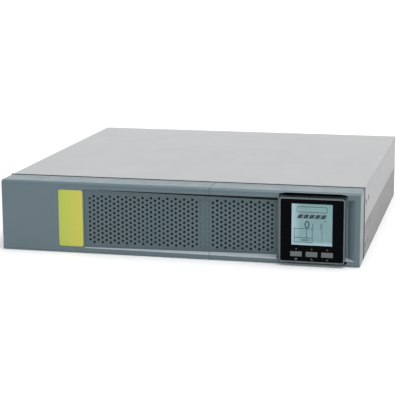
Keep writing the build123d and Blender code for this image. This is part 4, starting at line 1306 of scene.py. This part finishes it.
@dataclass
class Display:
    """The turning screen with its picture, marks, keys and lenses."""

    line: float = 0.00055
    film: float = 0.00012
    level_count: int = 5
    level_slant: float = 0.0026
    mark_size: float = 0.0011
    mark_drop: float = 0.0022
    mark_line: float = 0.00035
    mark_gap: float = 0.00001
    ink_gap: float = 0.00002
    screen: tuple[Vector, Vector] = field(default_factory=lambda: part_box("lcd_panel"))

    def build(self) -> None:
        """Dress the head and draw what its screen and window show."""
        dress(BLACK.make(), "display_housing", "display_retainer")
        dress(TRIM.make(), "display_trim")
        dress(WINDOW.make(), "display_window")
        dress(SCREEN.make(), "lcd_panel")
        dress(RUBBER.make(), "display_button_1", "display_button_2", "display_button_3")
        dress(LENS.make(), "indicator_lenses")
        ink = INK.make()
        place(self.draw_screen(), ink, Body.DISPLAY, Slot.SCREEN)
        place(self.draw_levels(ink), ink, Body.DISPLAY, Slot.SCREEN)
        place(self.draw_marks(), MARKING.make(), Body.DISPLAY, Slot.TRIM)

    def at(self, across: float, down: float) -> Pair:
        """Return the place on the screen for shares of its width and height from its top left."""
        low, high = self.screen
        return (low[0] + (high[0] - low[0]) * across, high[2] - (high[2] - low[2]) * down)

    def draw_screen(self) -> bpy.types.Object:
        """Draw the outlines and figures that the screen shows.

        Returns:
            Thin dark segments on the screen's face.
        """
        art = Shape()
        back = self.screen[0][1] - self.ink_gap
        front = back - self.film
        left, top = self.at(0.13, 0.07)
        right, low = self.at(0.87, 0.20)
        art.ribbon(rounded(left, low, right, top, 0.0022), self.line, front, back, closed=True)
        zero = arc(self.at(0.38, 0.50), 0.0038, 0, 350, 35, squash=0.58)
        art.ribbon(zero, 2.3 * self.line, front, back, closed=True)
        for middle, first, last in ((0.56, 125, 235), (0.68, -55, 55)):
            art.ribbon(arc(self.at(middle, 0.53), 0.0040, first, last, 10, squash=0.5), self.line, front, back)
        box = [self.at(0.07, 0.93), self.at(0.51, 0.93), self.at(0.51, 0.60), self.at(0.07, 0.60)]
        art.ribbon(box, self.line, front, back, closed=True)
        art.ribbon([self.at(0.07, 0.82), self.at(0.51, 0.82)], self.line, front, back)
        art.ribbon([self.at(0.37, 0.60), self.at(0.37, 0.82)], self.line, front, back)
        art.ribbon([self.at(0.75, 0.47), self.at(0.75, 0.92)], 0.6 * self.line, front, back)
        art.ribbon([self.at(0.80, 0.405), self.at(0.84, 0.405)], 1.4 * self.line, front, back)
        for across in (0.28, 0.34, 0.40):
            x, z = self.at(across, 0.875)
            ring = rounded(x - 0.0008, z - 0.0008, x + 0.0008, z + 0.0008, 0.0003)
            art.ribbon(ring, 0.0005, front, back, closed=True)
        return art.to_object("screen_figures")

    def draw_levels(self, ink: bpy.types.Material) -> bpy.types.Object:
        """Draw the row of slanted level blocks by rule.

        Args:
            ink: The segments' finish.

        Returns:
            The row as one piece.
        """
        left, top = self.at(0.13, 0.255)
        right, low = self.at(0.84, 0.35)
        pitch = (right - left) / self.level_count
        wide = 0.90 * pitch - 0.3 * self.level_slant
        back = self.screen[0][1] - self.ink_gap
        cell = Shape()
        outline = [(0.0, low - top), (wide, low - top), (wide + self.level_slant, 0.0), (self.level_slant, 0.0)]
        cell.prism(outline, -self.film, 0.0)
        points = [Vector((left + pitch * step, back, top)) for step in range(self.level_count)]
        return sow("screen_levels", cell.to_object("level_cell"), points, ink)

    def draw_marks(self) -> bpy.types.Object:
        """Draw a small generic sign below each key.

        Returns:
            Thin pale prints on the window.
        """
        art = Shape()
        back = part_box("display_window")[0][1] - self.mark_gap
        front = back - self.film / 3
        size = self.mark_size
        for number in (1, 2, 3):
            low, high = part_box(f"display_button_{number}")
            x, z = (low[0] + high[0]) / 2, low[2] - self.mark_drop
            if number == 1:
                art.ribbon(arc((x, z), size, 120, 420, 14), self.mark_line, front, back)
                art.ribbon([(x, z + 0.0002), (x, z + 1.4 * size)], self.mark_line, front, back)
            elif number == 2:
                peak = [(x - size, z - size), (x, z + size), (x + size, z - size)]
                art.ribbon(peak, self.mark_line, front, back)
            else:
                corner = [(x - size, z), (x - 0.3 * size, z - 0.8 * size), (x + size, z + size)]
                art.ribbon(corner, self.mark_line, front, back)
        return art.to_object("key_signs")


def pan_screw(head: float, rise: float, shank: float, length: float, facing: int) -> bpy.types.Object:
    """Make one pan-head screw with a cross recess, its axis along Y.

    Args:
        head: The head's radius.
        rise: The head's height.
        shank: The shank's radius.
        length: The shank's length.
        facing: 1 where the head faces the rear, -1 where it faces the front.

    Returns:
        The screw, with the underside of its head at the origin.
    """
    art = Shape()
    profile = [(0.0, -length), (shank, -length), (shank, 0.0), (head, 0.0), (head, 0.45 * rise)]
    profile += [(0.9 * head, 0.82 * rise), (0.66 * head, rise)]
    turned = [(radius, facing * height) for radius, height in profile]
    rim = art.lathe(turned, 24, Vector((0.0, 0.0, 0.0)), "Y", open_end=True)
    arm, half = 0.5 * head, 0.12 * head
    corner = [(half, arm), (half, half), (arm, half), (arm, -half), (half, -half), (half, -arm)]
    outline = corner + [(-x, -z) for x, z in corner]
    top = [art.mesh.verts.new((x, facing * rise, z)) for x, z in outline]
    floor = [art.mesh.verts.new((0.6 * x, facing * 0.35 * rise, 0.6 * z)) for x, z in outline]
    loops = []
    for ring in (rim, top):
        for index, corner_vert in enumerate(ring):
            pair = (corner_vert, ring[(index + 1) % len(ring)])
            loops.append(art.mesh.edges.get(pair) or art.mesh.edges.new(pair))
    bmesh.ops.triangle_fill(art.mesh, use_beauty=True, edges=loops)
    for index in range(len(top)):
        after = (index + 1) % len(top)
        art.mesh.faces.new((top[index], top[after], floor[after], floor[index]))
    art.mesh.faces.new(floor)
    return art.to_object("pan_screw")


def thumb_screws(
    name: str, points: list[Vector], radius: float, reach: float, shank: Pair, facing: int
) -> bpy.types.Object:
    """Make knurled thumb screws by rule, one at each point.

    Args:
        name: The finished piece's name.
        points: The undersides of the heads.
        radius: The head's radius over its ridges.
        reach: The head's length.
        shank: The shank's radius and length.
        facing: 1 where the heads face the rear, -1 where they face the front.

    Returns:
        One piece holding every screw.
    """
    recipe = Recipe(name + "_rule")
    outer = recipe.size("Head Radius", radius)
    length = recipe.size("Head Length", reach)
    ridges = recipe.size("Ridges", 30, "Int")
    depth = recipe.size("Ridge Depth", 0.0005)
    thin = recipe.size("Shank Radius", shank[0])
    inner = recipe.size("Shank Length", shank[1])
    core_radius = recipe.math("SUBTRACT", outer, depth)
    core = recipe.add("GeometryNodeMeshCylinder", Vertices=30, Radius=core_radius, Depth=length)
    stem = recipe.add("GeometryNodeMeshCylinder", Vertices=16, Radius=thin, Depth=inner)
    sunk = recipe.math("MULTIPLY", recipe.math("ADD", inner, length), -0.5)
    drop = recipe.vector(z=sunk)
    low_stem = recipe.add("GeometryNodeTransform", Geometry=stem.outputs["Mesh"], Translation=drop)
    collar_size = recipe.math("MULTIPLY", core_radius, 0.72)
    collar_rise = recipe.math("MULTIPLY", length, 0.16)
    collar = recipe.add("GeometryNodeMeshCylinder", Vertices=24, Radius=collar_size, Depth=collar_rise)
    lifted = recipe.math("MULTIPLY", recipe.math("ADD", length, collar_rise), 0.5)
    high_collar = recipe.add(
        "GeometryNodeTransform", Geometry=collar.outputs["Mesh"], Translation=recipe.vector(z=lifted)
    )
    ring = recipe.add("GeometryNodeMeshCircle", Vertices=ridges, Radius=core_radius)
    wide = recipe.math("MULTIPLY", depth, 1.1)
    tall = recipe.math("MULTIPLY", length, 0.8)
    tooth_size = recipe.vector(recipe.math("MULTIPLY", depth, 2.0), wide, tall)
    tooth = recipe.add("GeometryNodeMeshCube", Size=tooth_size)
    step = recipe.math("DIVIDE", math.tau, ridges)
    angle = recipe.math("MULTIPLY", recipe.add("GeometryNodeInputIndex").outputs["Index"], step)
    teeth = recipe.add(
        "GeometryNodeInstanceOnPoints",
        Points=ring.outputs["Mesh"],
        Instance=tooth.outputs["Mesh"],
        Rotation=recipe.vector(z=angle),
    )
    whole = recipe.join(
        core.outputs["Mesh"],
        low_stem.outputs["Geometry"],
        high_collar.outputs["Geometry"],
        teeth.outputs["Instances"],
    )
    raised = recipe.add(
        "GeometryNodeTransform", Geometry=whole, Translation=recipe.vector(z=recipe.math("MULTIPLY", length, 0.5))
    )
    turned = recipe.add("GeometryNodeTransform", Geometry=raised.outputs["Geometry"])
    turned.inputs["Rotation"].default_value = (-facing * math.pi / 2, 0.0, 0.0)
    single = recipe.add("GeometryNodeGeometryToInstance", Geometry=turned.outputs["Geometry"])
    screws = recipe.add("GeometryNodeInstanceOnPoints", Points=recipe.host, Instance=single.outputs["Instances"])
    return recipe.run(screws.outputs["Instances"], points, name, SCREWS.make(), smooth=True)


def winding(
    name: str,
    centre: Vector,
    path: str,
    radii: tuple[float, float, float],
    turns: int,
    wire: float,
    material: bpy.types.Material,
) -> bpy.types.Object:
    """Wind one wire by rule, round a ring or round an upright leg.

    Args:
        name: The finished piece's name.
        centre: The middle of the coil.
        path: "ring" for a ring core, or "leg" for an upright one.
        radii: For a ring, its middle radius and its section's half width and half height.
            For a leg, the coil's half width, half depth and half height.
        turns: The number of turns.
        wire: The wire's radius.
        material: The wire's finish.

    Returns:
        The wire as one closed tube.
    """
    recipe = Recipe(name + "_rule")
    labels = ("First", "Second", "Third")
    first, second, third = (recipe.size(label, value) for label, value in zip(labels, radii))
    count = recipe.size("Turns", turns, "Int")
    thick = recipe.size("Wire Radius", wire)
    points = recipe.math("MULTIPLY", count, 40.0)
    line = recipe.add("GeometryNodeCurvePrimitiveLine")
    even = recipe.add("GeometryNodeResampleCurve", Curve=line.outputs["Curve"], Count=points)
    along = recipe.math("DIVIDE", recipe.add("GeometryNodeInputIndex").outputs["Index"], points)
    turn = recipe.math("MULTIPLY", recipe.math("MULTIPLY", along, count), math.tau)
    across, up = recipe.math("COSINE", turn), recipe.math("SINE", turn)
    if path == "ring":
        sweep = recipe.math("MULTIPLY", along, 5.9)
        reach = recipe.math("ADD", first, recipe.math("MULTIPLY", across, second))
        x = recipe.math("MULTIPLY", reach, recipe.math("COSINE", sweep))
        y = recipe.math("MULTIPLY", reach, recipe.math("SINE", sweep))
        z = recipe.math("MULTIPLY", up, third)
    else:
        square = []
        for wave, half in ((across, first), (up, second)):
            size = recipe.math("POWER", recipe.math("ABSOLUTE", wave), 0.4)
            side = recipe.math("SIGN", wave)
            square.append(recipe.math("MULTIPLY", recipe.math("MULTIPLY", size, side), half))
        x, y = square
        z = recipe.math("MULTIPLY", recipe.math("SUBTRACT", recipe.math("MULTIPLY", along, 2.0), 1.0), third)
    bent = recipe.add("GeometryNodeSetPosition", Geometry=even.outputs["Curve"], Position=recipe.vector(x, y, z))
    moved = recipe.add("GeometryNodeTransform", Geometry=bent.outputs["Geometry"], Translation=tuple(centre))
    section = recipe.add("GeometryNodeCurvePrimitiveCircle", Resolution=6, Radius=thick)
    tube = recipe.add(
        "GeometryNodeCurveToMesh",
        Curve=moved.outputs["Geometry"],
        Profile_Curve=section.outputs["Curve"],
        Fill_Caps=True,
    )
    return recipe.run(tube.outputs["Mesh"], [Vector()], name, material, smooth=True)


@dataclass
class BatteryPack:
    """The battery blocks with their tray, handle, links and thumb screws."""

    vent_radius: float = 0.0055
    vent_rise: float = 0.0009
    head_radius: float = 0.0045
    head_reach: float = 0.008
    shank: Pair = (0.0018, 0.008)

    def build(self) -> None:
        """Dress the pack and add its screws and vents."""
        case = BATTERY.make()
        dress(case, *[f"battery_block_{number}" for number in (1, 2, 3, 4)])
        dress(BRASS.make(), "battery_terminals")
        dress(BLACK.make(), "tray_handle", "battery_plug", "battery_socket")
        place(self.make_vents(case), case, Body.TRAY, Slot.BLACK)
        screws = self.make_screws()
        place(screws, screws.data.materials[0], Body.TRAY, Slot.SCREW)
        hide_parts("tray_screws")

    def make_vents(self, material: bpy.types.Material) -> bpy.types.Object:
        """Set two rows of three vent caps in the lid of each block.

        Args:
            material: The caps' finish.

        Returns:
            Every cap as one piece.
        """
        cap = Shape()
        rim, rise = self.vent_radius, self.vent_rise
        profile = [(0.0, -0.001), (rim, -0.001), (rim, 0.7 * rise), (0.85 * rim, rise)]
        profile += [(0.7 * rim, rise), (0.6 * rim, 0.5 * rise), (0.0, 0.5 * rise)]
        cap.lathe(profile, 20, Vector())
        points = []
        for number in (1, 2, 3, 4):
            low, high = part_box(f"battery_block_{number}")
            for across in (0.35, 0.65):
                for along in (0.3, 0.5, 0.7):
                    x = low[0] + (high[0] - low[0]) * across
                    y = low[1] + (high[1] - low[1]) * along
                    points.append(Vector((x, y, high[2])))
        return sow("battery_vents", cap.to_object("vent_cap"), points, material)

    def make_screws(self) -> bpy.types.Object:
        """Make the two thumb screws that hold the tray.

        Returns:
            Both screws as one piece.
        """
        low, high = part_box("tray_screws")
        z = (low[2] + high[2]) / 2
        y = low[1] + self.head_reach
        points = [Vector((x, y, z)) for x in (low[0] + self.head_radius, high[0] - self.head_radius)]
        return thumb_screws("tray_thumb_screws", points, self.head_radius, 0.86 * self.head_reach, self.shank, -1)


@dataclass
class PowerBoard:
    """The main board with its heat sinks, coils, capacitors and small parts."""

    pitch: float = 0.0088
    clearance: float = 0.0045
    edge: float = 0.006
    choke_wire: float = 0.0009
    coil_wire: float = 0.0008
    flange: float = 0.0016
    coil_wall: Pair = (0.0132, 0.0128)
    can_radius: float = 0.015
    card_margin: Pair = (0.010, 0.009)
    card_pitch: Pair = (0.0138, 0.0108)
    card_rows: tuple[int, int] = (6, 4)
    seed: int = 11

    def build(self) -> None:
        """Dress the board, wind its coils and set its small parts."""
        dress(BOARD.make(), "power_board", "control_card", "port_board", "display_board")
        dress(BRASS.make(), "board_standoffs")
        dress(ALUMINIUM.make(), "heat_sink_1", "heat_sink_2")
        dress(COMPONENT.make(), "power_transistors", "relays")
        dress(SLEEVE.make(), "bulk_capacitors")
        dress(FERRITE.make(), "transformer_core")
        self.wind_choke()
        self.wind_transformer()
        self.cap_capacitors()
        self.set_small_parts()
        self.set_card_chips()

    def wind_choke(self) -> None:
        """Make the ring choke, a painted core under one layer of wire."""
        low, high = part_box("choke")
        centre = Vector([(a + b) / 2 for a, b in zip(low, high)])
        outer, half = (high[1] - low[1]) / 2, (high[2] - low[2]) / 2
        bore = 0.45 * outer
        middle, width = (outer + bore) / 2, (outer - bore) / 2
        core = Shape()
        section = arc((middle, 0.0), half - 2.2 * self.choke_wire, 0, 337.5, 15, squash=0.5)
        core.lathe(section, 48, centre)
        place(core.to_object("choke_core", smooth=True), SLEEVE.make(), Body.CASE, Slot.COMPONENT)
        radii = (middle, width - self.choke_wire, half - self.choke_wire)
        wire = winding("choke_winding", centre, "ring", radii, 24, self.choke_wire, ENAMEL.make())
        place(wire, wire.data.materials[0], Body.CASE, Slot.COPPER)
        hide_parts("choke")

    def wind_transformer(self) -> None:
        """Make the transformer's bobbin and its outer layer of wire."""
        low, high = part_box("transformer_coil")
        centre = Vector([(a + b) / 2 for a, b in zip(low, high)])
        half = [(b - a) / 2 for a, b in zip(low, high)]
        bobbin = Shape()
        flange = self.flange
        hole = (half[0] - self.coil_wall[0], half[1] - self.coil_wall[1])
        for size, bottom, top in (
            (1.0, low[2], low[2] + flange),
            (1.0, high[2] - flange, high[2]),
            (0.93, low[2] + flange, high[2] - flange),
        ):
            outer = rounded(-half[0] * size, -half[1] * size, half[0] * size, half[1] * size, 0.006)
            inner = rounded(-hole[0], -hole[1], hole[0], hole[1], 0.0005)
            bobbin.hoop(outer, inner, centre, bottom, top)
        place(bobbin.to_object("transformer_bobbin"), COMPONENT.make(), Body.CASE, Slot.COMPONENT)
        radii = (half[0] - self.coil_wire, half[1] - self.coil_wire, half[2] - flange - 1.2 * self.coil_wire)
        wire = winding("transformer_winding", centre, "leg", radii, 20, self.coil_wire, ENAMEL.make())
        place(wire, wire.data.materials[0], Body.CASE, Slot.COPPER)
        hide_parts("transformer_coil")

    def cap_capacitors(self) -> None:
        """Show the bare aluminium end of each capacitor inside its sleeve."""
        low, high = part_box("bulk_capacitors")
        radius = self.can_radius
        disc = Shape()
        profile = [(0.0, -0.0005), (0.8 * radius, -0.0005), (0.78 * radius, 0.00035), (0.0, 0.00035)]
        disc.lathe(profile, 32, Vector())
        spots = [(x, y) for x in (low[0] + radius, high[0] - radius) for y in (low[1] + radius, high[1] - radius)]
        points = [Vector((x, y, high[2])) for x, y in spots]
        material = ALUMINIUM.make()
        ends = sow("capacitor_ends", disc.to_object("capacitor_end"), points, material)
        place(ends, material, Body.CASE, Slot.SCREW)

    def free_spots(self) -> list[Vector]:
        """Return the places on the main board that no larger part covers.

        Returns:
            Points on the board's upper face.
        """
        board_low, board_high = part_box("power_board")
        names = ("heat_sink_1", "heat_sink_2", "power_transistors", "bulk_capacitors", "transformer_core")
        names += ("transformer_coil", "choke", "relays", "control_card", "bay_wall", "fan_frame")
        taken = [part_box(name) for name in names]
        spots = []
        for column in range(int((board_high[0] - board_low[0] - 2 * self.edge) / self.pitch) + 1):
            for row in range(int((board_high[1] - board_low[1] - 2 * self.edge) / self.pitch) + 1):
                x = board_low[0] + self.edge + column * self.pitch
                y = board_low[1] + self.edge + row * self.pitch
                clear = all(
                    x < low[0] - self.clearance
                    or x > high[0] + self.clearance
                    or y < low[1] - self.clearance
                    or y > high[1] + self.clearance
                    for low, high in taken
                )
                if clear:
                    spots.append(Vector((x, y, board_high[2])))
        return spots

    def set_small_parts(self) -> None:
        """Set small capacitors, chips and resistors on the free spots."""
        spots = self.free_spots()
        can = Shape()
        can.lathe([(0.0, 0.0), (0.0024, 0.0), (0.0024, 0.0072), (0.0020, 0.0078), (0.0, 0.0078)], 16, Vector())
        chip = Shape()
        chip.prism([(-0.0030, 0.0002), (0.0030, 0.0002), (0.0026, 0.0026), (-0.0026, 0.0026)], -0.002, 0.002)
        for x in (-0.0034, 0.0034):
            chip.block(Vector((x - 0.0005, -0.0015, 0.0)), Vector((x + 0.0005, 0.0015, 0.0012)))
        resistor = Shape()
        profile = [(0.0, -0.0032), (0.0011, -0.0030), (0.0012, -0.0022), (0.0009, -0.0016), (0.0009, 0.0016)]
        profile += [(0.0012, 0.0022), (0.0011, 0.0030), (0.0, 0.0032)]
        resistor.lathe(profile, 12, Vector((0.0, 0.0, 0.0013)), "Y")
        kinds = (
            ("small_capacitors", can, SLEEVE.make(), Slot.COMPONENT),
            ("small_chips", chip, COMPONENT.make(), Slot.COMPONENT),
            ("small_resistors", resistor, CERAMIC.make(), Slot.COMPONENT),
        )
        for index, (name, shape, material, slot) in enumerate(kinds):
            template = shape.to_object(name + "_shape")
            points = [spot for number, spot in enumerate(spots) if (number * 7 + number // 5) % 4 == index]
            lean, grow = (0.0, 0.0, 0.10), (0.8, 1.15)
            made = sow(name, template, points, material, lean, grow, self.seed + index)
            place(made, material, Body.CASE, slot)

    def set_card_chips(self) -> None:
        """Set rows of chips on the front of the upright control card."""
        low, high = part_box("control_card")
        chip = Shape()
        chip.prism(rounded(-0.0038, -0.0025, 0.0038, 0.0025, 0.0003), -0.0015, 0.0)
        for x in (-0.0027, -0.0009, 0.0009, 0.0027):
            chip.block(Vector((x - 0.0002, -0.0007, -0.0035)), Vector((x + 0.0002, 0.0, 0.0035)))
        points = []
        for column in range(self.card_rows[0]):
            for row in range(self.card_rows[1]):
                x = low[0] + self.card_margin[0] + column * self.card_pitch[0]
                z = low[2] + self.card_margin[1] + row * self.card_pitch[1]
                points.append(Vector((x, low[1], z)))
        material = COMPONENT.make()
        chips = sow("card_chips", chip.to_object("card_chip"), points, material, grow=(0.75, 1.1), seed=self.seed)
        place(chips, material, Body.CASE, Slot.COMPONENT)


@dataclass
class Fan:
    """The rear fan with its guard and screws."""

    head: float = 0.0036
    rise: float = 0.002
    shank: Pair = (0.0019, 0.0092)

    def build(self) -> None:
        """Dress the fan and set its screws."""
        dress(BLACK.make(), "fan_frame", "fan_rotor")
        steel = SCREWS.make()
        dress(steel, "fan_guard")
        low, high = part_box("fan_screws")
        template = pan_screw(self.head, self.rise, self.shank[0], self.shank[1], 1)
        reach = self.head
        spots = [(x, z) for x in (low[0] + reach, high[0] - reach) for z in (low[2] + reach, high[2] - reach)]
        points = [Vector((x, high[1] - self.rise, z)) for x, z in spots]
        screws = sow("fan_pan_screws", template, points, steel, turn=(0.0, math.tau, 0.0), seed=5)
        place(screws, steel, Body.CASE, Slot.SCREW)
        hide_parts("fan_screws")


@dataclass
class RearFittings:
    """The sockets, breaker, ports and screws of the rear panel."""

    thumb_radius: float = 0.0045
    thumb_reach: float = 0.0068
    pin_radius: float = 0.0005
    pin_pitch: float = 0.00277

    def build(self) -> None:
        """Dress the rear fittings and make the ports' insides."""
        dress(BLACK.make(), "outlet_bank_lower", "outlet_bank_upper", "power_inlet", "breaker_body")
        dress(COMPONENT.make(), "breaker_button")
        dress(PORT.make(), "port_blocks")
        dress(BRASS.make(), "inlet_pins")
        steel = SCREWS.make()
        dress(steel, "panel_screws", "bezel_screws", "button_switches")
        dress(OXIDE.make(), "ear_nuts")
        self.set_cover_screws()
        self.fill_ports()

    def set_cover_screws(self) -> None:
        """Make the two thumb screws of the slot's cover plate."""
        low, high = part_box("slot_screws")
        _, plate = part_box("slot_cover")
        z = (low[2] + high[2]) / 2
        points = [Vector((x, plate[1], z)) for x in (low[0] + self.thumb_radius, high[0] - self.thumb_radius)]
        shank = (0.0018, plate[1] - low[1])
        screws = thumb_screws("slot_thumb_screws", points, self.thumb_radius, self.thumb_reach, shank, 1)
        place(screws, screws.data.materials[0], Body.CASE, Slot.SCREW)
        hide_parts("slot_screws")

    def mouth(self, name: str) -> tuple[Vector, Vector]:
        """Return the corners of one of the record's openings.

        Args:
            name: The opening's name.

        Returns:
            The low and high corners.
        """
        openings = frame["record"]["physics"]["openings"]
        found = next(item for item in openings if item["name"] == name)
        return Vector(found["box_m"][0]), Vector(found["box_m"][1])

    def fill_ports(self) -> None:
        """Make the shells, tongues, pins and clamps inside the three ports."""
        inner = Shape()
        low, high = self.mouth("usb_port_mouth")
        x, z = (low.x + high.x) / 2, (low.z + high.z) / 2
        inner.block(Vector((x - 0.0028, low.y, z - 0.0016)), Vector((x + 0.0028, high.y - 0.002, z + 0.0016)))
        low, high = self.mouth("terminal_port_mouth")
        step = (high.x - low.x) / 4
        for index in range(1, 4):
            x = low.x + index * step
            inner.block(Vector((x - 0.0004, low.y, low.z)), Vector((x + 0.0004, high.y - 0.001, high.z)))
        low, high = self.mouth("serial_port_mouth")
        x, z = (low.x + high.x) / 2, (low.z + high.z) / 2
        corners = ((-0.0085, 0.0042), (0.0085, 0.0042), (0.0075, -0.0042), (-0.0075, -0.0042))
        shell = [(x + across, z + up) for across, up in corners]
        inner.prism(shell, low.y, low.y + 0.001)
        black = BLACK.make()
        place(inner.to_object("port_insulators"), black, Body.CASE, Slot.BLACK)
        metal = Shape()
        metal.ribbon(shell, 0.0006, low.y, high.y - 0.0015, closed=True)
        for side in (-1, 1):
            post = arc((x + side * 0.0125, z), 0.0024, 0, 300, 5)
            metal.prism(post, low.y, high.y - 0.003)
        place(metal.to_object("serial_shell"), PORT.make(), Body.CASE, Slot.SCREW)
        pin = Shape()
        radius = self.pin_radius
        profile = [(0.0, 0.0), (radius, 0.0), (radius, 0.0048), (0.5 * radius, 0.0054), (0.0, 0.0055)]
        pin.lathe(profile, 10, Vector(), "Y")
        rows = ((5, 0.00142), (4, -0.00142))
        points = [
            Vector((x + (n - (count - 1) / 2) * self.pin_pitch, low.y + 0.0008, z + up))
            for count, up in rows
            for n in range(count)
        ]
        gold = BRASS.make()
        place(sow("serial_pins", pin.to_object("serial_pin"), points, gold), gold, Body.CASE, Slot.BRASS)


def main() -> None:
    """Build the studio and every sub-assembly."""
    for part in (Studio(), Enclosure(), Display(), BatteryPack(), PowerBoard(), Fan(), RearFittings()):
        log.info("building %s", type(part).__name__)
        part.build()


if __name__ == "__main__":
    main()
